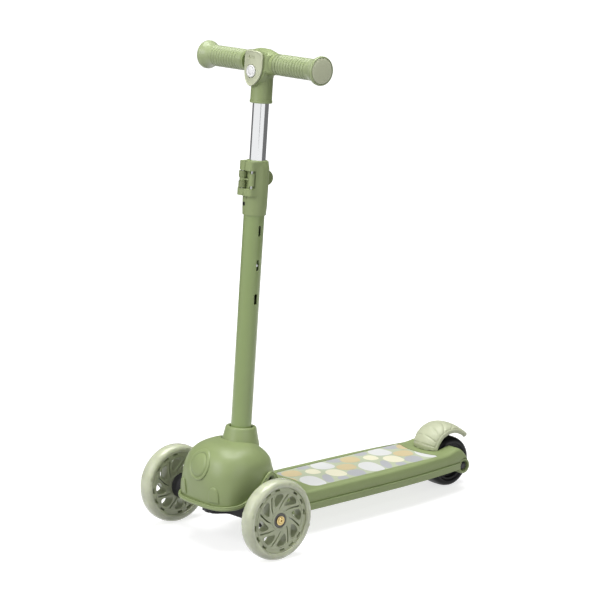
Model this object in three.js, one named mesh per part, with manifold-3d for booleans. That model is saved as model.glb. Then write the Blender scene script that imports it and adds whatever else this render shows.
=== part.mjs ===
// A child's three-wheeled kick scooter: two front wheels on a lean-to-steer truck, a height-adjustable
// T-bar with a quick-release clamp, and one rear wheel under a foot brake.
// Millimetres, +Z up, standing on z = 0, the rider faces -Y.
import * as THREE from "three";
import { mergeVertices } from "three/addons/utils/BufferGeometryUtils.js";
import Module from "manifold-3d";

const wasm = await Module();
wasm.setup();

// ---------------------------------------------------------------- driving dimensions
// Inside the scooter group y = 0 is the front axle; the group is shifted so that the whole is centred.
const GAP = 0.3; // clearance between pieces that touch
const FRONT_WHEEL = { radius: 60, width: 24, track: 243 };
const REAR_WHEEL = { radius: 40, width: 38, axleY: 445 };
const CENTRE_Y = (REAR_WHEEL.axleY + REAR_WHEEL.radius - FRONT_WHEEL.radius) / 2;

const BEARING = { bore: 4, radius: 11, width: 7 };
const WHEEL_HUB = { halfLength: 9, bore: BEARING.radius + GAP };

// The post frame: its origin is at the top of the neck collar, its z axis runs up the leaning post.
const POST = {
  lean: THREE.MathUtils.degToRad(4.77), y: 32.9, z: 169.1, radius: 15.4, wall: 1.6, foot: -74, top: 386,
};
const TUBE = { radius: 12, wall: 1.5, bottom: 222, top: 520 };
const SLOT = { width: 5, height: 16, first: 192, pitch: 50.5, count: 3 };
const CLAMP = { bottom: 316, top: 396, radius: 18.5 };
const HANDLE = { z: 538, half: 132.8, grip: 15.5, flange: 21, tubeRadius: 8, joint: 36 };

// The kingpin frame: its origin is the bottom of the truck's hub, its z axis leans towards the rider's front.
const KINGPIN = { lean: THREE.MathUtils.degToRad(15), y: -19, z: 49, radius: 5 };

const DECK = { top: 66, padTop: 65.4, seam: 47.7, bottom: 37.5, front: 58, skin: 3 };
const REAR_SLOT = { half: 24.5, front: 393 };
const BRAKE_PIN = { y: 402, z: 58, radius: 2.5 };
const BRAKE_BORE = BRAKE_PIN.radius + GAP;

const COLOUR = {
  sage: "#8f9f6e",
  post: "#96a577",
  pale: "#d3d9bb",
  tyre: "#c9cfb0",
  core: "#b9c2a0",
  black: "#1b1b1c",
  steel: "#c8cacc",
  brass: "#c39a45",
  white: "#ecece6",
  pad: "#a9b78c",
  lever: "#6c7a4c",
};

// ---------------------------------------------------------------- helpers
function paint(colour, roughness = 0.5, metalness = 0) {
  return new THREE.MeshStandardMaterial({ color: colour, roughness, metalness });
}

const MATERIAL = {
  sage: paint(COLOUR.sage, 0.5),
  post: paint(COLOUR.post, 0.4, 0.2),
  pale: paint(COLOUR.pale, 0.45),
  tyre: paint(COLOUR.tyre, 0.3),
  core: paint(COLOUR.core, 0.35),
  black: paint(COLOUR.black, 0.45),
  steel: paint(COLOUR.steel, 0.25, 1),
  brass: paint(COLOUR.brass, 0.3, 1),
  white: paint(COLOUR.white, 0.35),
  pad: paint(COLOUR.pad, 0.6),
  lever: paint(COLOUR.lever, 0.45),
};

function weld(geometry) {
  const bare = geometry.clone();
  bare.deleteAttribute("normal");
  bare.deleteAttribute("uv");
  return mergeVertices(bare, 1e-4);
}

function signedVolume(geometry) {
  const [a, b, c] = [new THREE.Vector3(), new THREE.Vector3(), new THREE.Vector3()];
  const { position } = geometry.attributes;
  const index = geometry.index.array;
  let sum = 0;
  for (let i = 0; i < index.length; i += 3) {
    a.fromBufferAttribute(position, index[i]);
    b.fromBufferAttribute(position, index[i + 1]);
    c.fromBufferAttribute(position, index[i + 2]);
    sum += a.dot(b.cross(c));
  }
  return sum / 6;
}

// A welded copy whose faces all point out, without collapsed triangles.
function closed(geometry) {
  const bare = weld(geometry);
  const flip = signedVolume(bare) < 0;
  const index = [];
  for (let i = 0; i < bare.index.count; i += 3) {
    const [a, b, c] = [0, 1, 2].map((k) => bare.index.array[i + k]);
    if (a !== b && b !== c && c !== a) index.push(...(flip ? [a, c, b] : [a, b, c]));
  }
  bare.setIndex(index);
  return bare;
}

function toSolid(geometry) {
  const bare = closed(geometry);
  return new wasm.Manifold(
    new wasm.Mesh({
      numProp: 3,
      vertProperties: Float32Array.from(bare.attributes.position.array),
      triVerts: Uint32Array.from(bare.index.array),
    }),
  );
}

function toGeometry(solid) {
  const { vertProperties, triVerts } = solid.getMesh();
  const geometry = new THREE.BufferGeometry();
  geometry.setAttribute("position", new THREE.BufferAttribute(Float32Array.from(vertProperties), 3));
  geometry.setIndex(Array.from(triVerts));
  return geometry;
}

const cut = (base, ...tools) =>
  toGeometry(tools.reduce((solid, tool) => solid.subtract(toSolid(tool)), toSolid(base)));
const join = (base, ...others) =>
  toGeometry(others.reduce((solid, other) => solid.add(toSolid(other)), toSolid(base)));
const hull = (...parts) => toGeometry(wasm.Manifold.hull(parts.map(toSolid)));
const common = (base, other) => toGeometry(toSolid(base).intersect(toSolid(other)));

function outline(points) {
  return new THREE.Shape(points.map(([u, v]) => new THREE.Vector2(u, v)));
}

function roundedRect(u0, v0, u1, v1, r) {
  const shape = new THREE.Shape();
  shape.moveTo(u0 + r, v0);
  shape.absarc(u1 - r, v0 + r, r, -Math.PI / 2, 0);
  shape.absarc(u1 - r, v1 - r, r, 0, Math.PI / 2);
  shape.absarc(u0 + r, v1 - r, r, Math.PI / 2, Math.PI);
  shape.absarc(u0 + r, v0 + r, r, Math.PI, 1.5 * Math.PI);
  return shape;
}

function extrude(shape, from, to, curveSegments) {
  const geometry = new THREE.ExtrudeGeometry(shape, { depth: to - from, bevelEnabled: false, curveSegments });
  return geometry.translate(0, 0, from);
}

const axes = (u, v, w) => new THREE.Matrix4().makeBasis(u, v, w);
const [X, Y, Z] = [new THREE.Vector3(1, 0, 0), new THREE.Vector3(0, 1, 0), new THREE.Vector3(0, 0, 1)];
const MINUS_Y = Y.clone().negate();

// Prisms of an outline drawn in (x, y), (y, z) or (x, z).
const prismZ = (shape, z0, z1, segments = 5) => extrude(shape, z0, z1, segments);
const prismX = (shape, x0, x1, segments = 5) => extrude(shape, x0, x1, segments).applyMatrix4(axes(Y, Z, X));
const prismY = (shape, y0, y1, segments = 5) =>
  extrude(shape, -y1, -y0, segments).applyMatrix4(axes(X, Z, MINUS_Y));
const box = (x0, y0, z0, x1, y1, z1) =>
  new THREE.BoxGeometry(x1 - x0, y1 - y0, z1 - z0).translate((x0 + x1) / 2, (y0 + y1) / 2, (z0 + z1) / 2);

// Bodies of revolution about z or x; the profile is a list of [radius, height].
function latheZ(profile, segments = 24) {
  const points = profile.map(([r, h]) => new THREE.Vector2(r, h));
  return new THREE.LatheGeometry(points, segments).rotateX(Math.PI / 2);
}
const latheX = (profile, segments = 24) => latheZ(profile, segments).rotateY(Math.PI / 2);
const rod = (r, h0, h1) => [[0, h0], [r, h0], [r, h1], [0, h1]];
const sleeve = (r0, r1, h0, h1) => [[r0, h0], [r1, h0], [r1, h1], [r0, h1], [r0, h0]];

// A closed skin through rings of equally many points, with a fan at each end.
function loft(rings) {
  const count = rings[0].length;
  const middle = (ring) => ring.reduce((sum, p) => sum.add(p), new THREE.Vector3()).divideScalar(count);
  const points = [...rings.flat(), middle(rings[0]), middle(rings.at(-1))];
  const index = [];
  const last = (rings.length - 1) * count;
  for (let j = 0; j < count; j++) {
    const next = (j + 1) % count;
    for (let i = 0; i < last; i += count) {
      index.push(i + j, i + next, i + count + next, i + j, i + count + next, i + count + j);
    }
    index.push(rings.length * count, next, j, rings.length * count + 1, last + j, last + next);
  }
  const geometry = new THREE.BufferGeometry().setFromPoints(points);
  geometry.setIndex(index);
  return geometry;
}

// Straight-line interpolation in a table of [position, value, value...] rows.
function along(table, position) {
  const clamped = Math.min(Math.max(position, table[0][0]), table.at(-1)[0]);
  const i = Math.max(1, table.findIndex((row) => row[0] >= clamped));
  const [low, high] = [table[i - 1], table[i]];
  const t = (clamped - low[0]) / (high[0] - low[0]);
  return low.slice(1).map((value, k) => value + (high[k + 1] - value) * t);
}

const scooter = new THREE.Group();
scooter.name = "scooter";
scooter.position.y = -CENTRE_Y;

function frame(parent, { x = 0, y = 0, z = 0 } = {}, tiltX = 0) {
  const group = new THREE.Group();
  group.position.set(x, y, z);
  group.rotation.x = tiltX;
  parent.add(group);
  return group;
}

function place(parent, name, geometry, material) {
  const mesh = new THREE.Mesh(closed(geometry), material);
  mesh.name = name;
  parent.add(mesh);
}

// Geometry drawn in a tilted frame, turned into the scooter's frame for a cut or a join.
const fromFrame = ({ y, z, lean }, direction) => (geometry) =>
  geometry.applyMatrix4(new THREE.Matrix4().makeRotationX(direction * lean)).translate(0, y, z);
const fromPost = fromFrame(POST, -1);
const fromKingpin = fromFrame(KINGPIN, 1);

const postFrame = frame(scooter, POST, -POST.lean);
const kingpinFrame = frame(scooter, KINGPIN, KINGPIN.lean);

// ---------------------------------------------------------------- wheels
const FRONT_TYRE = { inner: 48.8, shoulder: 57.2 };

function tyre({ radius, width }, inner, shoulder) {
  const half = width / 2;
  const profile = [
    [inner, -half + 1.4], [inner + 3, -half], [shoulder, -half + 1.2], [radius, -half * 0.35],
    [radius, half * 0.35], [shoulder, half - 1.2], [inner + 3, half], [inner, half - 1.4],
  ];
  return latheX([...profile, profile[0]], 32);
}

const polar = (r, a) => new THREE.Vector2(r * Math.cos(a), r * Math.sin(a));

// A ring of holes, each a polygon given as [radius, angle in degrees] corners.
function holeRing(corners, count) {
  return Array.from({ length: count }, (_, k) => {
    const turn = (360 / count) * k;
    return new THREE.Path(corners.map(([r, a]) => polar(r, THREE.MathUtils.degToRad(turn + a))));
  });
}

const BLADES = 8;
const WINDOW = [
  [22, 20], [26, 23], [31.5, 21], [36.5, 17], [39.8, 10], [40.4, 2], [39.6, -6], [36.5, -11], [32, -9],
  [27, -1], [23.5, 9],
];

function frontCore() {
  const disc = new THREE.Shape().absarc(0, 0, FRONT_TYRE.inner - GAP, 0, 2 * Math.PI);
  const bore = new THREE.Path().absarc(0, 0, WHEEL_HUB.bore, 0, 2 * Math.PI);
  disc.holes.push(bore, ...holeRing(WINDOW, BLADES));
  return prismX(disc, -WHEEL_HUB.halfLength, WHEEL_HUB.halfLength, 14);
}

const RACE_BORE = BEARING.bore + 0.15;
const SPACER_RADIUS = 6.5;
const spacer = (half) => latheX(sleeve(RACE_BORE, SPACER_RADIUS, -half, half), 12);

function bearing(x) {
  const half = BEARING.width / 2;
  return latheX(sleeve(RACE_BORE, BEARING.radius, x - half, x + half), 12);
}

function frontWheel(side, sign) {
  const hub = frame(scooter, { x: (sign * FRONT_WHEEL.track) / 2, z: FRONT_WHEEL.radius });
  const bearingX = WHEEL_HUB.halfLength - BEARING.width / 2;
  place(hub, `front_${side}_tyre`, tyre(FRONT_WHEEL, FRONT_TYRE.inner, FRONT_TYRE.shoulder), MATERIAL.tyre);
  place(hub, `front_${side}_core`, frontCore(), MATERIAL.core);
  place(hub, `front_${side}_outer_bearing`, bearing(sign * bearingX), MATERIAL.steel);
  place(hub, `front_${side}_inner_bearing`, bearing(-sign * bearingX), MATERIAL.steel);
  const half = WHEEL_HUB.halfLength - BEARING.width - GAP;
  place(hub, `front_${side}_spacer`, spacer(half), MATERIAL.steel);
}
frontWheel("left", 1);
frontWheel("right", -1);

const REAR_TYRE_INNER = 29;

function rearHub() {
  const half = REAR_WHEEL.width / 2 - 2;
  const dish = [[15, half], [15, half - 6], [25.5, half - 6], [25.5, half]];
  const mirrored = dish.map(([r, h]) => [r, -h]).reverse();
  const outer = REAR_TYRE_INNER - GAP;
  const bore = WHEEL_HUB.bore;
  const profile = [[outer, half], [outer, -half], ...mirrored, [bore, -half], [bore, half], ...dish];
  return latheX([...profile, profile[0]], 20);
}

const rearFrame = frame(scooter, { y: REAR_WHEEL.axleY, z: REAR_WHEEL.radius });
const REAR_BEARING_X = 13.5;
place(rearFrame, "rear_tyre", tyre(REAR_WHEEL, REAR_TYRE_INNER, 37), MATERIAL.black);
place(rearFrame, "rear_hub", rearHub(), MATERIAL.black);
place(rearFrame, "rear_left_bearing", bearing(REAR_BEARING_X), MATERIAL.steel);
place(rearFrame, "rear_right_bearing", bearing(-REAR_BEARING_X), MATERIAL.steel);
const REAR_SPACER_HALF = REAR_BEARING_X - BEARING.width / 2 - GAP;
place(rearFrame, "rear_spacer", spacer(REAR_SPACER_HALF), MATERIAL.steel);

// The rear axle is a bolt with a domed head on one side and a domed nut on the other.
function rearAxle() {
  const dome = (s) => [[6.8, s * 44.3], [6.8, s * 46], [4, s * 47.6], [0, s * 47.6]];
  const left = dome(-1).reverse();
  return latheX([...left, [BEARING.bore, -44.3], [BEARING.bore, 44.3], ...dome(1)], 12);
}
place(rearFrame, "rear_axle_bolt", rearAxle(), MATERIAL.steel);

// ---------------------------------------------------------------- truck
const HUB_R = 15;
const HUB_TOP = 28;
const TRUCK_BOTTOM = 48.5;
const TRUCK_END = 106; // outer face of the truck's end bosses
const AXLE_HEAD_X = FRONT_WHEEL.track / 2 + WHEEL_HUB.halfLength + GAP;
const AXLE_HEAD_RADIUS = 7;
const AXLE_FROM = 64;

function truckPlan() {
  const shape = new THREE.Shape();
  shape.moveTo(-92, 11);
  shape.lineTo(-92, -11);
  shape.lineTo(-30, -14);
  shape.bezierCurveTo(-22, -16, -20, -28, -12, -32);
  shape.lineTo(12, -32);
  shape.bezierCurveTo(20, -28, 22, -16, 30, -14);
  shape.lineTo(92, -11);
  shape.lineTo(92, 11);
  shape.lineTo(30, 12);
  shape.lineTo(-30, 12);
  return shape;
}

function truckBeam() {
  const hub = fromKingpin(latheZ(rod(HUB_R, -8, HUB_TOP), 20));
  const boss = (s) => latheX([[0, s * 84], [15, s * 84], [19.5, s * 92], [19.5, s * 103], [17, s * TRUCK_END],
    [7, s * TRUCK_END], [7, s * 112.2], [0, s * 112.2]], 18).translate(0, 0, FRONT_WHEEL.radius);
  const body = join(prismZ(truckPlan(), TRUCK_BOTTOM, 66, 4), hub, boss(1), boss(-1));
  const boltHole = (s) =>
    latheX(rod(BEARING.bore + GAP, s * AXLE_FROM, s * 114), 10).translate(0, 0, FRONT_WHEEL.radius);
  const kingpinHole = fromKingpin(latheZ(rod(KINGPIN.radius + GAP, -20, 60), 12));
  const headPocket = fromKingpin(latheZ(rod(11, -20, 4), 12));
  const below = box(-40, -60, 20, 40, 30, TRUCK_BOTTOM);
  return cut(body, below, boltHole(1), boltHole(-1), kingpinHole, headPocket);
}
place(scooter, "truck_beam", truckBeam(), MATERIAL.black);

function axleBolt(s) {
  const head = AXLE_HEAD_X + 2.4;
  const profile = [
    [0, AXLE_FROM + 2], [BEARING.bore, AXLE_FROM + 2], [BEARING.bore, AXLE_HEAD_X],
    [AXLE_HEAD_RADIUS, AXLE_HEAD_X], [AXLE_HEAD_RADIUS - 1, head], [2.4, head], [2.4, head - 1.8],
    [0, head - 1.8],
  ];
  return latheX(profile.map(([r, x]) => [r, s * x]), 12).translate(0, 0, FRONT_WHEEL.radius);
}
place(scooter, "front_left_axle_bolt", axleBolt(1), MATERIAL.brass);
place(scooter, "front_right_axle_bolt", axleBolt(-1), MATERIAL.brass);

// The kingpin holds the truck under the chassis against an elastomer bush.
const UPPER_BUSH = { from: HUB_TOP + GAP, to: 36 };
const NOSE_BOSS = { from: UPPER_BUSH.to + GAP, to: 51 };
const kingpin = [[0, 0], [8.5, 0], [8.5, 3.5], [KINGPIN.radius, 3.5], [KINGPIN.radius, 51.5],
  [8, 51.5], [8, 56], [0, 56]];
place(kingpinFrame, "kingpin_bolt", latheZ(kingpin, 10), MATERIAL.steel);
place(kingpinFrame, "upper_bush",
  latheZ(sleeve(KINGPIN.radius + GAP, 12, UPPER_BUSH.from, UPPER_BUSH.to), 14), MATERIAL.black);

// ---------------------------------------------------------------- chassis nose, hidden under the shell
const SOCKET = { radius: 20, from: -82, to: -25, bore: POST.radius + GAP };

// A bolt across the post's foot holds it in the socket.
const POST_BOLT_Z = -50;
const postBoltHole = () => latheX(rod(2.8, -30, 30), 10).translate(0, 0, POST_BOLT_Z);

function chassisNose() {
  const side = outline([
    [112, 50.5], [112, 59.5], [56, 59.5], [50, 98], [-38, 98], [-38, 88], [36, 88], [44, 50.5],
  ]);
  const boss = fromKingpin(latheZ(rod(13, NOSE_BOSS.from, NOSE_BOSS.to), 14));
  const socket = fromPost(latheZ(rod(SOCKET.radius, SOCKET.from, SOCKET.to), 20));
  const body = join(prismX(side, -27, 27), boss, socket);
  const socketBore = fromPost(latheZ(rod(SOCKET.bore, POST.foot - GAP, 10), 24));
  const kingpinHole = fromKingpin(latheZ(rod(KINGPIN.radius + GAP, 20, 70), 12));
  const nutPocket = fromKingpin(latheZ(rod(15, NOSE_BOSS.to, 70), 14));
  const crossHole = fromPost(postBoltHole());
  return cut(body, socketBore, kingpinHole, nutPocket, crossHole);
}
place(scooter, "chassis_nose", chassisNose(), MATERIAL.black);

function postBolt() {
  const profile = [
    [0, -23.5], [4.5, -23.5], [4.5, -21.4], [2.5, -21.4], [2.5, 21.4], [4.5, 21.4], [4.5, 24.5], [0, 24.5],
  ];
  return latheX(profile, 10).translate(0, 0, POST_BOLT_Z);
}
place(postFrame, "post_bolt", postBolt(), MATERIAL.steel);

// ---------------------------------------------------------------- front shell
// Horizontal sections: height, half width, front y, rear y, squareness of the front and rear halves.
const SHELL_SECTIONS = [
  [40, 62.5, -47.5, 68.5, 3.6, 2.9],
  [64, 63.5, -49.5, 69.5, 3.6, 2.9],
  [85, 64.3, -51, 70.3, 3.4, 2.9],
  [100, 64.5, -51.3, 69.5, 3.0, 2.6],
  [113, 64, -49.8, 67.5, 2.8, 2.3],
  [124, 62, -46.8, 66, 2.6, 2.2],
  [133, 57.5, -42.8, 60, 2.5, 2.1],
  [141, 50, -36, 51, 2.4, 2],
  [147, 40, -27.5, 42.5, 2.2, 2],
  [151, 26, -15, 32, 2.1, 2],
  [152.5, 8, 3, 18, 2, 2],
];
const SHELL_WAIST_Y = 14;
const SHELL_STEPS = 32;
const SHELL_WALL = 2.6;

// One horizontal section of the shell, grown outward by the given amount.
function shellRing(z, grow = 0, steps = SHELL_STEPS) {
  const [a, front, rear, squareFront, squareRear] = along(SHELL_SECTIONS, z);
  return Array.from({ length: steps }, (_, k) => {
    const angle = (2 * Math.PI * k) / steps;
    const [c, s] = [Math.cos(angle), Math.sin(angle)];
    const power = 2 / (s < 0 ? squareFront : squareRear);
    const waist = Math.min(SHELL_WAIST_Y, rear - 2);
    const reach = s < 0 ? waist - front : rear - waist;
    const round = (value) => Math.sign(value) * Math.abs(value) ** power;
    return new THREE.Vector3((a + grow) * round(c), waist + (reach + grow) * round(s), z);
  });
}

// The dome grown outward, or shrunk by the wall: then its crown also sinks, from nothing at its shoulder.
const DOME = { shoulder: 100, rise: 61 };

function shellBlob(grow) {
  const rings = SHELL_SECTIONS.map(([z]) => shellRing(z, grow));
  const sink = Math.min(grow, 0);
  for (const point of rings.flat()) {
    point.z += sink * Math.max(0, (point.z - DOME.shoulder) / DOME.rise);
  }
  return loft(rings);
}

// Height of the shell's lower edge along its side: low in front, an arch over the truck, down to the deck.
const ARCH = [
  [-60, 66], [-34, 67.5], [-22, 69], [-8, 74], [2, 80], [12, 88], [22, 98], [29, 106], [34, 109.5],
  [38, 108.5], [43, 103], [49, 94], [54, 83], [60, 70], [66, 57], [72.5, 46],
];
const archZ = (y) => along(ARCH, y)[0];

function archCut() {
  const curve = ARCH.filter(([y]) => y <= 60).map(([y, z]) => [y, z]);
  const end = DECK.top + 0.5;
  const below = [[-80, 20], [-80, 66], ...curve.slice(0, -1), [60.5, end], [90, end], [90, 20]];
  return prismX(outline(below), -90, 90);
}

const COLLAR = { base: 29, lip: 22.4, top: 23, from: -38, bore: POST.radius + 1.5 };
const collarCone = (grow) => [[0, COLLAR.from - 12], [COLLAR.base + 1 + grow, COLLAR.from - 12],
  [COLLAR.base + grow, COLLAR.from + 10], [COLLAR.top + grow, 12], [0, 12]];

function frontShell() {
  const hollow = cut(shellBlob(0), shellBlob(-SHELL_WALL));
  return cut(hollow, archCut(), fromPost(latheZ(collarCone(GAP + 0.3), 24)));
}
place(scooter, "front_shell", frontShell(), MATERIAL.sage);

function neckCollar() {
  const { base, top, lip, bore, from } = COLLAR;
  const outer = [
    [base - 1.5, from], [base, from + 10], [top + 0.2, -4], [top, -1.6], [lip - 1, 0], [bore + 1, 0],
  ];
  const inner = [[bore, -1], [bore, -18], [22.4, -23], [base - 4.5, from]];
  return latheZ([...outer, ...inner, outer[0]], 24);
}
place(postFrame, "neck_collar", neckCollar(), MATERIAL.sage);

// The rim: a raised band that follows the lower edge of the shell from one side of the deck to the other.
// Beyond flatFrom it faces straight out to the side.
const RIM = { half: 2.1, tall: 3, stand: 2.5, legX: 66.8, flatFrom: 50 };

// The rim's middle line: the shell's own section in front, then straight back along both sides of the deck.
function rimPath() {
  const steps = 56;
  const section = shellRing(80, RIM.stand, steps);
  const front = [...section.slice(steps / 2), section[0]];
  const rear = ARCH.filter(([y]) => y > SHELL_WAIST_Y);
  const side = (s) => rear.map(([y]) => new THREE.Vector3(s * RIM.legX, y, 0));
  const points = [...side(-1).reverse(), ...front, ...side(1)];
  points.forEach((p) => (p.z = archZ(p.y)));
  return points;
}

function rimBand() {
  const path = rimPath();
  const rings = path.map((p, i) => {
    const tangent = path[Math.min(i + 1, path.length - 1)].clone().sub(path[Math.max(i - 1, 0)]).normalize();
    const out = new THREE.Vector3(-tangent.y, tangent.x, 0).normalize();
    if (Math.abs(p.x) > RIM.flatFrom) out.set(Math.sign(p.x), 0, 0);
    if (out.dot(new THREE.Vector3(p.x, p.y - SHELL_WAIST_Y, 0)) < 0) out.negate();
    const up = tangent.clone().cross(out).normalize();
    const corner = ([u, v]) => p.clone().addScaledVector(out, u * RIM.half).addScaledVector(up, v * RIM.tall);
    return [[-1, -1], [0.4, -1], [1, -0.5], [1, 0.5], [0.4, 1], [-1, 1]].map(corner);
  });
  return loft(rings);
}
place(scooter, "shell_rim", rimBand(), MATERIAL.sage);

// Raised trim on the face of the shell: a domed round eye and two arch-topped tabs.
const TRIM_LIFT = 1.8;
const trimSkin = () => cut(shellBlob(TRIM_LIFT + GAP), shellBlob(GAP));

function eye() {
  const puck = prismY(new THREE.Shape().absarc(0, 123, 22, 0, 2 * Math.PI), -70, -20, 10);
  return common(trimSkin(), puck);
}

const TAB = { x: 36, half: 9, base: 73.5, spring: 85, top: 97 };

function tab(s) {
  const middle = s * TAB.x;
  const shape = new THREE.Shape();
  shape.moveTo(middle - TAB.half, TAB.base);
  shape.lineTo(middle + TAB.half, TAB.base);
  shape.bezierCurveTo(middle + TAB.half, TAB.spring + 4, middle + 5, TAB.top, middle, TAB.top);
  shape.bezierCurveTo(middle - 5, TAB.top, middle - TAB.half, TAB.spring + 4, middle - TAB.half, TAB.base);
  return common(trimSkin(), prismY(shape, -70, -20, 6));
}
place(scooter, "shell_eye", eye(), MATERIAL.sage);
place(scooter, "shell_left_tab", tab(1), MATERIAL.sage);
place(scooter, "shell_right_tab", tab(-1), MATERIAL.sage);

// ---------------------------------------------------------------- deck
// Stations along the deck: y, half width at the seam, half width of the top, height of the top.
const DECK_STATIONS = [
  [DECK.front, 63, 59, 66], [76, 63.5, 60.5, 66], [140, 64, 60, 66], [220, 64, 58.5, 66], [300, 63, 57, 66],
  [350, 60.5, 54.5, 66], [385, 57, 51, 66], [408, 54.5, 48.5, 66], [420, 53, 47, 68.2], [430, 51.5, 45.5, 70],
  [437, 50.5, 44.5, 69.4], [444, 49.5, 43.5, 65.5], [450, 48.5, 42.5, 59], [455, 46.5, 41, 51.5],
];

function deckRing([y, seam, top, height]) {
  const base = DECK.seam + GAP;
  const rise = height - base;
  const half = [
    [seam - 1.6, base], [seam, base + 0.1 * rise], [seam - 0.6, base + 0.45 * rise],
    [seam - 1.8, base + 0.7 * rise], [top + 0.6, base + 0.9 * rise], [top - 2.5, height], [top - 9, height],
  ];
  const right = half.map(([x, z]) => new THREE.Vector3(x, y, z));
  const left = half.map(([x, z]) => new THREE.Vector3(-x, y, z)).reverse();
  return [...right, ...left];
}

function rearSlot() {
  return prismZ(roundedRect(-REAR_SLOT.half, REAR_SLOT.front, REAR_SLOT.half, 600, 4), 10, 120, 3);
}

const PAD = { half: 48, front: 134, rear: 391, waist: 383, radius: 11, bottom: 62.8 };

function padOutline(grow) {
  const half = PAD.half + grow;
  const r = PAD.radius;
  const shape = new THREE.Shape();
  shape.moveTo(-half + r, PAD.front - grow);
  shape.absarc(half - r, PAD.front - grow + r, r, -Math.PI / 2, 0);
  shape.lineTo(half, PAD.rear + grow - 6);
  shape.quadraticCurveTo(half, PAD.rear + grow, half - 7, PAD.rear + grow);
  shape.quadraticCurveTo(0, PAD.waist - (PAD.rear - PAD.waist) + grow, -half + 7, PAD.rear + grow);
  shape.quadraticCurveTo(-half, PAD.rear + grow, -half, PAD.rear + grow - 6);
  shape.absarc(-half + r, PAD.front - grow + r, r, Math.PI, 1.5 * Math.PI);
  return shape;
}

function deckTop() {
  const body = loft(DECK_STATIONS.map(deckRing));
  const hollow = outline([[-56, 70], [56, 70], [56, 300], [48, 386], [-48, 386], [-56, 300]]);
  const underside = prismZ(hollow, 40, 59.8);
  const padPocket = prismZ(padOutline(GAP), PAD.bottom - GAP, 80, 4);
  const noseMouth = box(-27.5, 40, 30, 27.5, 76, 60);
  const circle = new THREE.Shape().absarc(REAR_WHEEL.axleY, REAR_WHEEL.radius, 13.2, 0, 2 * Math.PI);
  const boss = (s) => prismX(circle, s * 22, s * 60, 14);
  const pinBore = latheX(rod(BRAKE_BORE, -34, 34), 12).translate(0, BRAKE_PIN.y, BRAKE_PIN.z);
  return cut(body, underside, padPocket, noseMouth, rearSlot(), boss(1), boss(-1), pinBore);
}
place(scooter, "deck_top", deckTop(), MATERIAL.sage);
place(scooter, "deck_pad", prismZ(padOutline(0), PAD.bottom, DECK.padTop, 4), MATERIAL.pad);

// The lower tray shows as the band under the seam and carries the rear axle in two bosses.
const TRAY = [
  [66, 77.5], [66.5, 140], [66.5, 220], [65.5, 300], [63, 350], [59.5, 385], [57, 405], [55, 418],
  [53.5, 427], [52, 434],
];
const SCREWS = [[40, 105], [-40, 105], [40, 345], [-40, 345]];
const SCREW = { shank: 2, head: 3.6, top: 52 };

function deckTray() {
  const left = TRAY.map(([x, y]) => [-x, y]).reverse();
  const plate = prismZ(outline([...TRAY, ...left]), DECK.bottom, DECK.seam);
  const floor = DECK.bottom + DECK.skin;
  const pocket = prismZ(roundedRect(-52, 82, 52, 340, 10), floor, 60, 3);
  const ribs = [150, 215, 280].map((y) => box(-52.5, y - 1.2, floor - 1, 52.5, y + 1.2, DECK.seam));
  const pillar = ([x, y]) => latheZ(rod(6, DECK.bottom, DECK.seam), 10).translate(x, y, 0);
  const atAxle = (geometry) => geometry.translate(0, REAR_WHEEL.axleY, REAR_WHEEL.radius);
  const bossProfile = [[0, 25], [12, 25], [12.6, 46], [11.6, 48.8], [8.6, 48.8], [8.6, 44.3], [0, 44.3]];
  const boss = (s) => atAxle(latheX(bossProfile.map(([r, x]) => [r, s * x]), 16));
  const recess = (s) => atAxle(latheX(rod(8.6, s * 44, s * 60), 12));
  const arm = (s) => box(s > 0 ? 26 : -50, 421, DECK.bottom, s > 0 ? 50 : -26, 443, DECK.seam - 2);
  const body = join(cut(plate, pocket), ...ribs, ...SCREWS.map(pillar), boss(1), boss(-1), arm(1), arm(-1));
  const axle = atAxle(latheX(rod(BEARING.bore + GAP, -60, 60), 12));
  const screwHole = ([x, y]) => latheZ([[0, 30], [SCREW.head + GAP, 30], [SCREW.head + GAP, 40],
    [SCREW.shank + GAP, 40], [SCREW.shank + GAP, 70], [0, 70]], 8).translate(x, y, 0);
  return cut(body, rearSlot(), axle, recess(1), recess(-1), ...SCREWS.map(screwHole));
}
place(scooter, "deck_tray", deckTray(), MATERIAL.sage);

function deckScrew([x, y]) {
  const profile = [
    [0, 38], [SCREW.head, 38], [SCREW.head, 39.7], [SCREW.shank, 39.7], [SCREW.shank, SCREW.top],
    [0, SCREW.top],
  ];
  return latheZ(profile, 8).translate(x, y, 0);
}
SCREWS.forEach((spot, k) => place(scooter, `deck_screw_${k + 1}`, deckScrew(spot), MATERIAL.steel));

// ---------------------------------------------------------------- brake fender
// Stations: crest y and z on the centre line, then half width, y and z of the side edge.
const FENDER = [
  [397.5, 67, 25.5, 409.5, 67], [396, 73, 26, 411, 71.5], [397, 80, 26.3, 414, 76.5],
  [401, 87.5, 26.5, 418, 81.5], [407, 93.8, 26.5, 423, 85.8], [416, 99.5, 26.5, 430, 88.8],
  [427, 103.2, 26.4, 439, 91],
  [440, 103.8, 26, 448.5, 90.8], [452, 101.2, 25.4, 456.5, 88.4], [462, 96.6, 24.6, 463.5, 85.2],
  [471, 91, 23.6, 469, 81.6], [478.5, 85.8, 22.2, 473, 78.9], [484.5, 81.8, 20, 475.5, 77],
];
const FENDER_SKIN = 2.8;
const FENDER_STEPS = 10;
const BRAKE_SHOE_TOP = 94;

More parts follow.
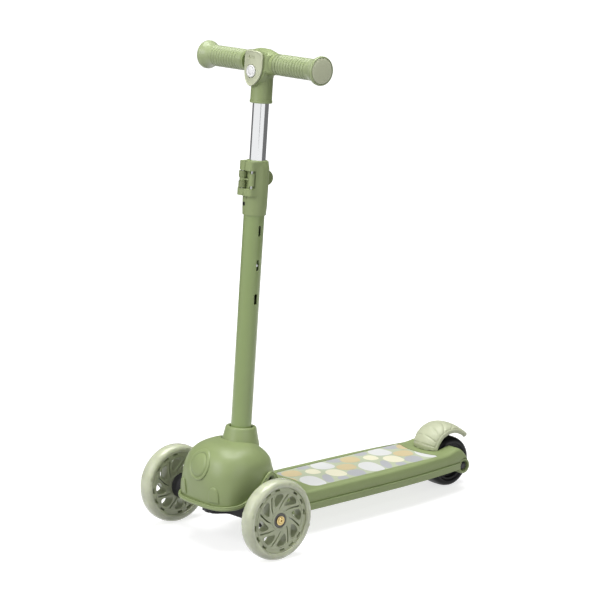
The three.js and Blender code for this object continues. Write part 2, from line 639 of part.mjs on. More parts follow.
function fenderRing([crestY, crestZ, half, edgeY, edgeZ], i) {
  const before = FENDER[Math.max(i - 1, 0)];
  const after = FENDER[Math.min(i + 1, FENDER.length - 1)];
  const inward = new THREE.Vector2(after[1] - before[1], -(after[0] - before[0])).normalize();
  const arc = (inset) => Array.from({ length: FENDER_STEPS + 1 }, (_, k) => {
    const angle = Math.PI * (k / FENDER_STEPS - 0.5);
    const lift = Math.cos(angle) ** 0.8;
    const y = edgeY + (crestY - edgeY) * lift + inward.x * inset;
    const z = edgeZ + (crestZ - edgeZ) * lift + inward.y * inset;
    return new THREE.Vector3((half - inset * 0.9) * Math.sin(angle), y, z);
  });
  return [...arc(0), ...arc(FENDER_SKIN).reverse()];
}

function brakeFender() {
  const lugSide = outline([[398, 53], [406, 53], [407.5, 60], [407.5, 69], [403, 80], [399, 80]]);
  const lug = prismX(lugSide, -12, 12);
  const shoeHolder = box(-8, 431, BRAKE_SHOE_TOP + GAP, 8, 441, 101.5);
  const bore = latheX(rod(BRAKE_BORE, -40, 40), 12).translate(0, BRAKE_PIN.y, BRAKE_PIN.z);
  const springPocket = box(-7, 390, 50, 7, 408, 66);
  return cut(join(loft(FENDER.map(fenderRing)), lug, shoeHolder), bore, springPocket);
}
place(scooter, "brake_fender", brakeFender(), MATERIAL.pale);
const shoeOutline = outline([[428, 80], [443, 82.8], [444, BRAKE_SHOE_TOP], [428, BRAKE_SHOE_TOP]]);
place(scooter, "brake_shoe", prismX(shoeOutline, -12, 12), MATERIAL.black);
place(scooter, "brake_hinge_pin",
  latheX(rod(BRAKE_PIN.radius, -33, 33), 12).translate(0, BRAKE_PIN.y, BRAKE_PIN.z), MATERIAL.steel);

class Helix extends THREE.Curve {
  constructor(radius, length, turns) {
    super();
    Object.assign(this, { radius, length, turns });
  }

  getPoint(t, target = new THREE.Vector3()) {
    const angle = 2 * Math.PI * this.turns * t;
    return target.set(this.length * (t - 0.5), this.radius * Math.cos(angle), this.radius * Math.sin(angle));
  }
}

function coil(radius, wire, length, turns) {
  const section = new THREE.Shape().absarc(0, 0, wire, 0, 2 * Math.PI);
  const extrudePath = new Helix(radius, length, turns);
  const steps = turns * 8;
  return new THREE.ExtrudeGeometry(section, { steps, extrudePath, curveSegments: 2, bevelEnabled: false });
}
place(scooter, "brake_spring", coil(4.2, 0.6, 10, 3).translate(0, BRAKE_PIN.y, BRAKE_PIN.z), MATERIAL.steel);

// ---------------------------------------------------------------- post, clamp and height adjustment
const SLOTS = Array.from({ length: SLOT.count }, (_, k) => SLOT.first + k * SLOT.pitch);
const BUTTON_Z = SLOTS[1];
const KEYWAY = { half: 2.3, depth: 15 };

function slotShape(z) {
  return roundedRect(-SLOT.width / 2, z - SLOT.height / 2, SLOT.width / 2, z + SLOT.height / 2, 2);
}

// The keyway inside the wall lets the button's tip pass between the slots.
function outerPost() {
  const tube = latheZ(sleeve(POST.radius - POST.wall, POST.radius, POST.foot, POST.top), 24);
  const slots = SLOTS.map((z) => prismX(slotShape(z), 8, 30, 3));
  const keyway = box(10, -KEYWAY.half, 130, KEYWAY.depth, KEYWAY.half, POST.top + 5);
  return cut(tube, ...slots, keyway, postBoltHole());
}
place(postFrame, "outer_post", outerPost(), MATERIAL.post);

function innerTube() {
  const tube = latheZ(sleeve(TUBE.radius - TUBE.wall, TUBE.radius, TUBE.bottom, TUBE.top), 24);
  return cut(tube, latheX(rod(2.3, 4, 20), 10).translate(0, 0, BUTTON_Z));
}
place(postFrame, "inner_tube", innerTube(), MATERIAL.steel);

// The button stands in a hole of the inner tube on a leaf spring and shows in the middle slot.
const BUTTON = [[0, 7.5], [3.6, 7.5], [3.6, 9.3], [1.9, 9.3], [1.9, 14.1], [1.2, 14.6], [0, 14.6]];
place(postFrame, "snap_button", latheX(BUTTON, 12).translate(0, 0, BUTTON_Z), MATERIAL.steel);

function leafSpring() {
  const z = BUTTON_Z;
  const leaf = [
    [3.4, 3], [3.4, -3], [-9.3, -14], [-9.3, -2], [-8.5, -2], [-8.5, -12], [2.4, -2.4], [2.4, 3],
  ];
  return prismY(outline(leaf.map(([x, dz]) => [x, z + dz])), -2.5, 2.5);
}
place(postFrame, "button_spring", leafSpring(), MATERIAL.steel);

place(postFrame, "guide_bush",
  latheZ(sleeve(TUBE.radius + 0.2, POST.radius - POST.wall - 0.3, 340, 384), 24), MATERIAL.black);

// Clamp: a collar with a housing towards the front, where the lever's barrel and the trunnion sit.
const LEVER_Z = { from: 356.3, middle: 368.5, to: 380.7 };
const PIVOT = { x: -4.6, y: -22.1, pin: 1.8, barrel: 5.8 };
const TRUNNION = { x: 11.5, y: -18, radius: 4.4, half: 8.8, pin: 1.5 };
const PINS = { from: 350.3, to: 387.7 };
const atPivot = (geometry) => geometry.translate(PIVOT.x, PIVOT.y, 0);
const atTrunnion = (geometry) => geometry.translate(TRUNNION.x, TRUNNION.y, 0);
const SIDE_TURN = THREE.MathUtils.degToRad(50); // towards the side where the window ends and the tip shows

// The housing is drawn round the collar and two corners in front of it; the ear that holds the pivot is the lower one.
function housing(from, to, cornerRadius) {
  const column = (r, x, y) => latheZ(rod(r, from, to), 20).translate(x, y, 0);
  return hull(column(16.6, 0, 0), column(cornerRadius, -6, -17.7), column(6.6, 9, -17.8));
}

function clampBody() {
  const profile = [
    [0, CLAMP.bottom], [17.4, CLAMP.bottom], [18.2, 330], [CLAMP.radius, 345], [CLAMP.radius, 384],
    [16.8, 393], [15.2, CLAMP.top], [0, CLAMP.top],
  ];
  return join(latheZ(profile, 24), housing(LEVER_Z.from - 2, 395, 7.5), housing(344.8, LEVER_Z.from, 9));
}

const SET_SCREW = { z: 332, turn: THREE.MathUtils.degToRad(-11) };

// The window round the collar where the lever passes; its far edge is a straight wall beside the trunnion.
function leverWindow(low, high) {
  const ring = latheZ(sleeve(CLAMP.radius + GAP, 45, low, high), 24);
  return cut(ring, box(-0.6, -45, low - 1, 45, 10, high + 1).rotateZ(SIDE_TURN));
}

function clampCollar() {
  const bore = latheZ([[0, 300], [POST.radius + GAP, 300], [POST.radius + GAP, POST.top + GAP],
    [TUBE.radius + GAP, POST.top + GAP], [TUBE.radius + GAP, 410], [0, 410]], 24);
  const [low, high] = [LEVER_Z.from - 1, LEVER_Z.to + 1];
  const barrelPocket = atPivot(latheZ(rod(PIVOT.barrel + 0.4, low, high), 14));
  const trunnionPocket = atTrunnion(latheZ(rod(TRUNNION.radius + 0.4, low, high), 14));
  const split = box(2.1, -40, 340, 2.9, -14, 400);
  const hole = (r) => latheZ(rod(r + GAP, PINS.from - GAP, PINS.to + GAP), 8);
  const screwHole = latheZ(rod(3.3, 15, 22), 12)
    .rotateX(Math.PI / 2).rotateZ(SET_SCREW.turn).translate(0, 0, SET_SCREW.z);
  return cut(clampBody(), bore, leverWindow(low, high), barrelPocket, trunnionPocket, split,
    atPivot(hole(PIVOT.pin)), atTrunnion(hole(TRUNNION.pin)), screwHole);
}
place(postFrame, "clamp_collar", clampCollar(), MATERIAL.sage);

// The set screw is radial, at the front of the collar.
const setScrew = latheZ([[0, 16.5], [3, 16.5], [3, 18.4], [1.5, 18.4], [1.5, 17.4], [0, 17.4]], 12)
  .rotateX(Math.PI / 2).rotateZ(SET_SCREW.turn).translate(0, 0, SET_SCREW.z);
place(postFrame, "clamp_set_screw", setScrew, MATERIAL.black);

// The lever wraps round the collar from the barrel in front to the back.
const LEVER = { inner: 19.1, outer: 23, tip: 24.5, tipRadius: 12.2, thick: 3 };

function leverWrap() {
  const shape = new THREE.Shape();
  const [start, end] = [THREE.MathUtils.degToRad(253), Math.PI / 2 + SIDE_TURN];
  const first = polar(LEVER.outer, start);
  shape.moveTo(first.x, first.y);
  shape.absarc(0, 0, LEVER.outer, start, end, true);
  shape.absarc(0, 0, LEVER.inner, end, THREE.MathUtils.degToRad(240), false);
  return shape;
}

// The thumb tip runs on straight from the wrap and ends in a half round beside the collar.
function leverTip() {
  const middle = LEVER.tip - LEVER.tipRadius;
  const shape = new THREE.Shape();
  shape.moveTo(-6, LEVER_Z.middle - LEVER.tipRadius);
  shape.absarc(middle, LEVER_Z.middle, LEVER.tipRadius, -Math.PI / 2, Math.PI / 2);
  shape.lineTo(-6, LEVER_Z.middle + LEVER.tipRadius);
  return prismY(shape, LEVER.outer - LEVER.thick, LEVER.outer, 10).rotateZ(SIDE_TURN);
}

function clampLever() {
  const barrel = atPivot(latheZ(rod(PIVOT.barrel, LEVER_Z.from, LEVER_Z.to), 14));
  const body = join(prismZ(leverWrap(), LEVER_Z.from, LEVER_Z.to, 8), leverTip(), barrel);
  const eyeSlot = atPivot(latheZ(rod(PIVOT.barrel + 0.6, LEVER_Z.middle - 2.8, LEVER_Z.middle + 2.8), 14));
  const clear = latheZ(rod(LEVER.inner, 350, 390), 24);
  const pinHole = atPivot(latheZ(rod(PIVOT.pin + GAP, 350, 390), 12));
  return cut(body, eyeSlot, pinHole, clear);
}
place(postFrame, "clamp_lever", clampLever(), MATERIAL.lever);
place(postFrame, "lever_pivot_pin", atPivot(latheZ(rod(PIVOT.pin, PINS.from, PINS.to), 8)), MATERIAL.steel);

const BOLT_TURN = Math.atan2(TRUNNION.y - PIVOT.y, TRUNNION.x - PIVOT.x);

function eyeBolt() {
  const span = Math.hypot(TRUNNION.x - PIVOT.x, TRUNNION.y - PIVOT.y);
  const eyeRing = latheZ(rod(4.6, -2.4, 2.4), 12);
  const shank = latheX(rod(1.5, 3, span - 2.2), 8);
  const bolt = cut(join(eyeRing, shank), latheZ(rod(PIVOT.pin + GAP, -5, 5), 8));
  return atPivot(bolt.rotateZ(BOLT_TURN)).translate(0, 0, LEVER_Z.middle);
}

function trunnion() {
  const [low, high] = [LEVER_Z.middle - TRUNNION.half, LEVER_Z.middle + TRUNNION.half];
  const body = atTrunnion(latheZ(rod(TRUNNION.radius, low, high), 12));
  const pinHole = atTrunnion(latheZ(rod(TRUNNION.pin + GAP, 350, 390), 12));
  const shankHole = atTrunnion(box(-TRUNNION.radius - 1, -1.9, -2, -1.6, 1.9, 2).rotateZ(BOLT_TURN));
  return cut(body, pinHole, shankHole.translate(0, 0, LEVER_Z.middle));
}
place(postFrame, "clamp_eye_bolt", eyeBolt(), MATERIAL.steel);
place(postFrame, "clamp_trunnion", trunnion(), MATERIAL.sage);
place(postFrame, "trunnion_pin",
  atTrunnion(latheZ(rod(TRUNNION.pin, PINS.from, PINS.to), 10)), MATERIAL.steel);

// ---------------------------------------------------------------- T-bar
const NECK = { bottom: 479.6, radius: 15.9, lip: 16.6 };

// The badge is bent to a large radius round the post; its front is the furthest point forward.
const BADGE = { half: 21, top: 555.5, waist: 532, tip: 504, front: -23.6, bend: 46, thick: 3.6 };
const badgeColumn = (inset) =>
  latheZ(rod(BADGE.bend - inset, 480, 580), 72).translate(0, BADGE.front + BADGE.bend, 0);

// A shield outline: rounded top corners, straight sides, a round tongue below.
function badgeOutline(grow) {
  const half = BADGE.half + grow;
  const top = BADGE.top + grow;
  const shape = new THREE.Shape();
  shape.moveTo(0, BADGE.tip - grow);
  shape.bezierCurveTo(8, BADGE.tip - grow, half - 1, BADGE.waist - 17, half, BADGE.waist);
  shape.lineTo(half, top - 8);
  shape.quadraticCurveTo(half - 1, top - 1.5, half - 9, top - 0.8);
  shape.quadraticCurveTo(0, top + 1, -half + 9, top - 0.8);
  shape.quadraticCurveTo(-half + 1, top - 1.5, -half, top - 8);
  shape.lineTo(-half, BADGE.waist);
  shape.bezierCurveTo(-half + 1, BADGE.waist - 17, -8, BADGE.tip - grow, 0, BADGE.tip - grow);
  return shape;
}

function tBar() {
  const half = HANDLE.joint;
  const barrel = latheX([[0, -half], [15.4, -half], [15.9, -27], [18.5, -18], [20.6, -9], [21, 0], [20.6, 9],
    [18.5, 18], [15.9, 27], [15.4, half], [0, half]], 24).translate(0, 0, HANDLE.z);
  const neck = latheZ([[0, NECK.bottom], [NECK.lip - 0.6, NECK.bottom], [NECK.lip, NECK.bottom + 1],
    [NECK.lip, NECK.bottom + 4], [NECK.radius, NECK.bottom + 5], [NECK.radius, HANDLE.z - 22],
    [NECK.radius + 2, HANDLE.z - 14], [NECK.radius, HANDLE.z], [0, HANDLE.z]], 24);
  const pod = prismY(badgeOutline(1.2), -26, -6, 4);
  const tubeBore = latheZ(rod(TUBE.radius + GAP, 470, TUBE.top + GAP), 24);
  const crossBore = latheX(rod(HANDLE.tubeRadius + GAP, -60, 60), 16).translate(0, 0, HANDLE.z);
  const front = cut(box(-30, -40, 498, 30, 0, 572), badgeColumn(BADGE.thick + GAP));
  return cut(join(barrel, neck, pod), tubeBore, crossBore, front);
}
place(postFrame, "tbar_body", tBar(), MATERIAL.sage);

const MEDAL = { z: 525.6, radius: 9.2 };

function badge() {
  const shield = (grow) => prismY(badgeOutline(grow), -40, -5, 4);
  const plate = common(shield(0), cut(badgeColumn(0), badgeColumn(BADGE.thick)));
  const pocket = cut(shield(-2), badgeColumn(0.8));
  const circle = new THREE.Shape().absarc(0, MEDAL.z, MEDAL.radius + GAP, 0, 2 * Math.PI);
  const medalHole = prismY(circle, -30, BADGE.front + 2.4, 8);
  const recess = cut(prismY(roundedRect(-8, 543.5, 8, 548.5, 1), -30, -10, 2), badgeColumn(1.6));
  return cut(plate, pocket, medalHole, recess);
}
place(postFrame, "badge_plate", badge(), MATERIAL.pale);

const medal = latheZ([[0, BADGE.front - 0.6], [MEDAL.radius - 1.5, BADGE.front - 0.2],
  [MEDAL.radius, BADGE.front + 0.4], [MEDAL.radius, BADGE.front + 2.2], [0, BADGE.front + 2.2]], 18);
place(postFrame, "badge_medallion", medal.rotateX(-Math.PI / 2).translate(0, 0, MEDAL.z), MATERIAL.white);

const handleTube = latheX(sleeve(HANDLE.tubeRadius - 1.4, HANDLE.tubeRadius, -127.5, 127.5), 16);
place(postFrame, "handle_tube", handleTube.translate(0, 0, HANDLE.z), MATERIAL.steel);

function grip(s) {
  const start = HANDLE.joint + GAP;
  const profile = [
    [HANDLE.tubeRadius + GAP, start], [15.3, start], [HANDLE.grip, 104], [17.2, 118], [HANDLE.flange, 126.5],
    [HANDLE.flange, 129.6], [20.2, 131], [18.9, 131], [18.9, 129], [HANDLE.tubeRadius + GAP, 129],
  ];
  return latheX([...profile, profile[0]].map(([r, x]) => [r, s * x]), 20).translate(0, 0, HANDLE.z);
}

function gripCap(s) {
  const profile = [
    [0, 118], [6.2, 118], [6.2, 129.3], [18.5, 129.3], [18.5, 131], [14, 132.3], [7, HANDLE.half],
    [0, HANDLE.half],
  ];
  return latheX(profile.map(([r, x]) => [r, s * x]), 20).translate(0, 0, HANDLE.z);
}
for (const [side, s] of [["left", 1], ["right", -1]]) {
  place(postFrame, `${side}_grip`, grip(s), MATERIAL.sage);
  place(postFrame, `${side}_grip_cap`, gripCap(s), MATERIAL.pale);
}

export default scooter;
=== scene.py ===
import math

import bmesh
import bpy
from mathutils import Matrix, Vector


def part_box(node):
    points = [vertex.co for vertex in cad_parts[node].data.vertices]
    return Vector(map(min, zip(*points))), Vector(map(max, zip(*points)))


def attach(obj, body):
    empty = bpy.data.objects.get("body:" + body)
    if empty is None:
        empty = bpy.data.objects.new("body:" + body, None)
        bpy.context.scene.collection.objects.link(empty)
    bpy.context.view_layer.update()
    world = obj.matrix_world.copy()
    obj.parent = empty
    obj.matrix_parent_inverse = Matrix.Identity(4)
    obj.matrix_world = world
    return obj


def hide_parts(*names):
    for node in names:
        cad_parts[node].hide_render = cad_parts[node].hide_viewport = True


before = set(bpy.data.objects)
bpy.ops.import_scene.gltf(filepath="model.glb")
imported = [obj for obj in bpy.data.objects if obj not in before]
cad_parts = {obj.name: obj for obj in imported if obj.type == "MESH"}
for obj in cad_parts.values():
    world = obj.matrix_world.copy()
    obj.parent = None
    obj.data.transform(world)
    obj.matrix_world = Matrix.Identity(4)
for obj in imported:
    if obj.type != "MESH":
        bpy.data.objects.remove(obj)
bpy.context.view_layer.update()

_low, _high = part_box("front_left_tyre")
AXLE_Y = (_low[1] + _high[1]) / 2
TRACK = (_low[0] + _high[0]) / 2 * 1000
REAR_Y = (sum(c[1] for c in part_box("rear_tyre")) / 2 - AXLE_Y) * 1000

POST_LEAN = math.radians(4.77)
POST_FOOT = Vector((0, 32.9, 169.1))
HANDLE_T = 538
MM = 0.001


# ---------------------------------------------------------------- frames
def at(p):
    return Vector((p[0] * MM, p[1] * MM + AXLE_Y, p[2] * MM))


def post(p):
    """A point of the post's own frame: z runs up the leaning post from the top of the neck collar."""
    c, s = math.cos(POST_LEAN), math.sin(POST_LEAN)
    return at(POST_FOOT + Vector((p[0], p[1] * c + p[2] * s, -p[1] * s + p[2] * c)))


def shifted(x=0, y=0, z=0):
    return lambda p: at((p[0] + x, p[1] + y, p[2] + z))


def smoothstep(a, b, v):
    t = min(max((v - a) / (b - a), 0), 1)
    return t * t * (3 - 2 * t)


def spline(table, v):
    """Catmull-Rom interpolation in rows of [position, value, value...]."""
    v = min(max(v, table[0][0]), table[-1][0])
    i = max(k for k in range(len(table) - 1) if table[k][0] <= v)
    rows = [table[max(i - 1, 0)], table[i], table[i + 1], table[min(i + 2, len(table) - 1)]]
    span = rows[2][0] - rows[1][0]
    t = (v - rows[1][0]) / span
    out = []
    for k in range(1, len(rows[0])):
        m1 = (rows[2][k] - rows[0][k]) / (rows[2][0] - rows[0][0]) * span
        m2 = (rows[3][k] - rows[1][k]) / (rows[3][0] - rows[1][0]) * span
        t2, t3 = t * t, t * t * t
        out.append((2 * t3 - 3 * t2 + 1) * rows[1][k] + (t3 - 2 * t2 + t) * m1
                   + (3 * t2 - 2 * t3) * rows[2][k] + (t3 - t2) * m2)
    return out


# ---------------------------------------------------------------- materials
def node(tree, kind, **inputs):
    n = tree.nodes.new(kind)
    for key, value in inputs.items():
        n.inputs[key.replace("_", " ")].default_value = value
    return n


def principled(name, colour, roughness, vary=0.06, patch=18.0, grain=900.0, bump=0.08, rough_vary=0.06,
               metallic=0.0, coat=0.0, subsurface=0.0, transmission=0.0, sheen=0.0, ior=1.48, specular=0.5):
    """A moulded or coated surface: cloudy colour variation, uneven gloss and a fine moulded grain."""
    m = bpy.data.materials.new(name)
    m.use_nodes = True
    t = m.node_tree
    s = t.nodes["Principled BSDF"]
    s.inputs["Metallic"].default_value = metallic
    s.inputs["IOR"].default_value = ior
    s.inputs["Specular IOR Level"].default_value = specular
    s.inputs["Coat Weight"].default_value = coat
    s.inputs["Coat Roughness"].default_value = 0.12
    s.inputs["Subsurface Weight"].default_value = subsurface
    s.inputs["Subsurface Radius"].default_value = (0.9, 1.0, 0.6)
    s.inputs["Subsurface Scale"].default_value = 0.006
    s.inputs["Transmission Weight"].default_value = transmission
    s.inputs["Sheen Weight"].default_value = sheen
    place = t.nodes.new("ShaderNodeTexCoord")
    clouds = node(t, "ShaderNodeTexNoise", Scale=patch, Detail=3.0, Roughness=0.5)
    t.links.new(place.outputs["Object"], clouds.inputs["Vector"])
    ramp = t.nodes.new("ShaderNodeValToRGB")
    ramp.color_ramp.elements[0].position = 0.3
    ramp.color_ramp.elements[1].position = 0.7
    ramp.color_ramp.elements[0].color = (*[c * (1 - vary) for c in colour], 1)
    ramp.color_ramp.elements[1].color = (*[min(1, c * (1 + vary)) for c in colour], 1)
    t.links.new(clouds.outputs["Fac"], ramp.inputs["Fac"])
    t.links.new(ramp.outputs["Color"], s.inputs["Base Color"])
    spread = t.nodes.new("ShaderNodeMapRange")
    spread.inputs["To Min"].default_value = max(0.02, roughness - rough_vary)
    spread.inputs["To Max"].default_value = roughness + rough_vary
    t.links.new(clouds.outputs["Fac"], spread.inputs["Value"])
    t.links.new(spread.outputs["Result"], s.inputs["Roughness"])
    fine = node(t, "ShaderNodeTexNoise", Scale=grain, Detail=2.0, Roughness=0.6)
    t.links.new(place.outputs["Object"], fine.inputs["Vector"])
    relief = node(t, "ShaderNodeBump", Strength=bump, Distance=0.0004)
    t.links.new(fine.outputs["Fac"], relief.inputs["Height"])
    t.links.new(relief.outputs["Normal"], s.inputs["Normal"])
    return m


SAGE = (0.262, 0.325, 0.138)
PALE = (0.50, 0.53, 0.365)
MAT = {
    "sage": principled("sage_plastic", SAGE, 0.46, vary=0.03, bump=0.10, coat=0.04),
    "shell": principled("shell_plastic", SAGE, 0.40, vary=0.03, bump=0.06, coat=0.10),
    "post": principled("post_enamel", (0.255, 0.335, 0.125), 0.30, vary=0.02, bump=0.05, coat=0.25),
    "grip": principled("grip_rubber", (0.30, 0.36, 0.18), 0.30, vary=0.04, bump=0.12, sheen=0.15),
    "pale": principled("pale_plastic", PALE, 0.42, vary=0.03, bump=0.08, coat=0.05),
    "tyre": principled("clear_tyre", (0.60, 0.635, 0.46), 0.2, vary=0.10, patch=55.0, grain=300.0, bump=0.03,
                       coat=0.6, subsurface=0.35, transmission=0.12),
    "core": principled("wheel_core", (0.47, 0.51, 0.34), 0.30, vary=0.06, bump=0.05, coat=0.2,
                       subsurface=0.1),
    "black": principled("black_nylon", (0.010, 0.010, 0.011), 0.5, vary=0.2, bump=0.2, specular=0.25),
    "black_tyre": principled("black_tyre", (0.006, 0.006, 0.007), 0.36, vary=0.2, patch=60.0, bump=0.06,
                             specular=0.22),
    "rubber": principled("black_elastomer", (0.010, 0.010, 0.010), 0.6, vary=0.2, bump=0.2, specular=0.25),
    "steel": principled("zinc_steel", (0.58, 0.59, 0.60), 0.3, vary=0.05, patch=90.0, bump=0.05,
                        metallic=1.0),
    "race": principled("oiled_steel", (0.10, 0.10, 0.095), 0.34, vary=0.15, patch=160.0, bump=0.05,
                       metallic=1.0),
    "black_steel": principled("black_oxide", (0.03, 0.03, 0.032), 0.35, vary=0.2, patch=120.0, bump=0.08,
                              metallic=0.6),
    "chrome": principled("chrome", (0.86, 0.87, 0.88), 0.07, vary=0.01, bump=0.0, rough_vary=0.015,
                         metallic=1.0),
    "brass": principled("yellow_zinc", (0.60, 0.47, 0.22), 0.28, vary=0.08, patch=150.0, bump=0.05,
                        metallic=1.0),
    "white": principled("white_enamel", (0.80, 0.80, 0.80), 0.25, vary=0.02, bump=0.02, coat=0.3),
    "pad": principled("pad_green", (0.47, 0.52, 0.37), 0.62, vary=0.03, grain=1500.0, bump=0.35),
    "cream": principled("pad_cream", (0.74, 0.72, 0.54), 0.6, vary=0.02, grain=1500.0, bump=0.35),
    "peach": principled("pad_peach", (0.60, 0.50, 0.29), 0.6, vary=0.02, grain=1500.0, bump=0.35),
    "mist": principled("pad_mist", (0.66, 0.67, 0.66), 0.6, vary=0.02, grain=1500.0, bump=0.35),
    "slate": principled("pad_slate", (0.42, 0.43, 0.45), 0.6, vary=0.02, grain=1500.0, bump=0.35),
    # The lever's sage is darkened to paint the shade that falls on its tip: a shaded copy of the sage plastic
    "lever": principled("lever_plastic", (0.19, 0.235, 0.095), 0.42, vary=0.04, bump=0.1),
}


# ---------------------------------------------------------------- mesh helpers
def adopt(mesh, name, material, body, replaced=(), sharp=38):
    """Makes a finished piece of a mesh that is already in metres."""
    bm = bmesh.new()
    bm.from_mesh(mesh)
    bmesh.ops.remove_doubles(bm, verts=bm.verts, dist=2e-6)
    bmesh.ops.dissolve_degenerate(bm, edges=bm.edges, dist=1e-7)
    bmesh.ops.recalc_face_normals(bm, faces=bm.faces)
    bm.to_mesh(mesh)
    bm.free()
    mesh.shade_smooth()
    mesh.set_sharp_from_angle(angle=math.radians(sharp))
    mesh.materials.clear()
    mesh.materials.append(MAT[material])
    piece = bpy.data.objects.new(name, mesh)
    bpy.context.scene.collection.objects.link(piece)
    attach(piece, body)
    if replaced:
        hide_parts(*replaced)
    return piece


def solid(name, verts, faces, place=at):
    """A mesh in metres from points in millimetres, with its faces pointing out."""
    mesh = bpy.data.meshes.new(name)
    mesh.from_pydata([place(v) for v in verts], [], faces)
    bm = bmesh.new()
    bm.from_mesh(mesh)
    bmesh.ops.remove_doubles(bm, verts=bm.verts, dist=1e-7)
    bmesh.ops.recalc_face_normals(bm, faces=bm.faces)
    bm.to_mesh(mesh)
    bm.free()
    return mesh


def carve(mesh, cutters, operation="DIFFERENCE"):
    """The mesh after exact booleans with the cutter meshes, all in metres."""
    scene = bpy.context.scene
    base = bpy.data.objects.new("carving", mesh)
    scene.collection.objects.link(base)
    tools = []
    for cutter in cutters:
        tool = bpy.data.objects.new("cutter", cutter)
        scene.collection.objects.link(tool)
        tools.append(tool)
        step = base.modifiers.new("cut", "BOOLEAN")
        step.operation = operation
        step.solver = "EXACT"
        step.object = tool
    bpy.context.view_layer.update()
    result = bpy.data.meshes.new_from_object(base.evaluated_get(bpy.context.evaluated_depsgraph_get()))
    for o in [base, *tools]:
        bpy.data.objects.remove(o)
    return result


def bevelled(piece, width, segments=2, angle=40):
    """Rounds the edges that are sharper than the angle."""
    step = piece.modifiers.new("edges", "BEVEL")
    step.width = width * MM
    step.segments = segments
    step.limit_method = "ANGLE"
    step.angle_limit = math.radians(angle)
    step.harden_normals = False
    return piece


def rounded(profile, radius, steps=3):
    """An open profile with its inner corners rounded."""
    out = [profile[0]]
    for a, b, c in zip(profile, profile[1:], profile[2:]):
        a, b, c = Vector(a), Vector(b), Vector(c)
        r = min(radius, (a - b).length * 0.45, (c - b).length * 0.45)
        p, q = b + (a - b).normalized() * r, b + (c - b).normalized() * r
        for k in range(steps + 1):
            t = k / steps
            out.append(tuple((1 - t) ** 2 * p + 2 * t * (1 - t) * b + t * t * q))
    out.append(profile[-1])
    return out


def lathe(name, profile, axis="x", steps=72, place=at, fillet=0.0, closed=False):
    """A body of revolution from [radius, height] points; a closed profile is a ring."""
    if closed:
        profile = [*profile, profile[0]]
    if fillet:
        profile = rounded(profile, fillet)
    if closed:
        profile = profile[:-1]
    rows = len(profile)
    verts, faces = [], []
    for k in range(steps):
        a = 2 * math.pi * k / steps
        for r, h in profile:
            u, v = r * math.cos(a), r * math.sin(a)
            verts.append((h, u, v) if axis == "x" else (u, v, h))
    for k in range(steps):
        n = (k + 1) % steps
        for i in range(rows if closed else rows - 1):
            j = (i + 1) % rows
            faces.append((k * rows + i, k * rows + j, n * rows + j, n * rows + i))
    return solid(name, verts, faces, place)


def skin(name, rings, place=at, caps=True, loop=True):
    """A skin through rings of equally many points."""
    count = len(rings[0])
    verts = [p for ring in rings for p in ring]
    faces = []
    for i in range(len(rings) - 1):
        for j in range(count if loop else count - 1):
            n = (j + 1) % count
            faces.append((i * count + j, i * count + n, (i + 1) * count + n, (i + 1) * count + j))
    if caps:
        faces.append(tuple(range(count)))
        faces.append(tuple(reversed(range(len(verts) - count, len(verts)))))
    return solid(name, verts, faces, place)


def prism(name, outline, low, high, axis="z", place=at):
    """A straight prism of a closed outline, extruded along x or z."""
    rings = [[(h, u, v) if axis == "x" else (u, v, h) for u, v in outline] for h in (low, high)]
    return skin(name, rings, place)


def round_rect(u0, v0, u1, v1, r, steps=5):
    corners = [(u1 - r, v0 + r, -90), (u1 - r, v1 - r, 0), (u0 + r, v1 - r, 90), (u0 + r, v0 + r, 180)]
    out = []
    for cu, cv, start in corners:
        for k in range(steps + 1):
            a = math.radians(start + 90 * k / steps)
            out.append((cu + r * math.cos(a), cv + r * math.sin(a)))
    return out


def circle(cu, cv, r, steps=32):
    return [(cu + r * math.cos(2 * math.pi * k / steps), cv + r * math.sin(2 * math.pi * k / steps))
            for k in range(steps)]


def plate(name, outlines, low, high, bevel, place):
    """A plate with holes and rounded edges, filled from closed outlines in (u, v)."""
    curve = bpy.data.curves.new(name, "CURVE")
    curve.dimensions = "2D"
    curve.fill_mode = "BOTH"
    curve.extrude = (high - low) / 2 - bevel
    curve.bevel_depth = bevel
    curve.bevel_resolution = 2
    curve.offset = -bevel
    for outline in outlines:
        line = curve.splines.new("POLY")
        line.points.add(len(outline) - 1)
        for point, (u, v) in zip(line.points, outline):
            point.co = (u, v, 0, 1)
        line.use_cyclic_u = True
    holder = bpy.data.objects.new(name, curve)
    bpy.context.scene.collection.objects.link(holder)
    bpy.context.view_layer.update()
    mesh = bpy.data.meshes.new_from_object(holder.evaluated_get(bpy.context.evaluated_depsgraph_get()))
    bpy.data.objects.remove(holder)
    middle = (low + high) / 2
    for v in mesh.vertices:
        v.co = place((v.co.x, v.co.y, v.co.z + middle))
    return mesh


def tube(name, points, radius, place=at, closed=True, sides=8):
    """A round bead along a line of points, in millimetres."""
    rings = []
    n = len(points)
    for i, p in enumerate(points):
        before = Vector(points[(i - 1) % n] if closed or i else points[i])
        after = Vector(points[(i + 1) % n] if closed or i < n - 1 else points[i])
        along = (after - before).normalized()
        side = along.cross(Vector((0, 0, 1)) if abs(along.z) < 0.9 else Vector((1, 0, 0))).normalized()
        if closed:
            side = along.cross(Vector((1, 0, 0))).normalized() if abs(along.x) < 0.9 else side
        up = side.cross(along)
        rings.append([Vector(p) + side * radius * math.cos(a) + up * radius * math.sin(a)
                      for a in (2 * math.pi * k / sides for k in range(sides))])
    if closed:
        rings.append(rings[0])
    return skin(name, rings, place, caps=not closed)


def merged(name, meshes):
    bm = bmesh.new()
    for mesh in meshes:
        bm.from_mesh(mesh)
    out = bpy.data.meshes.new(name)
    bm.to_mesh(out)
    bm.free()
    return out


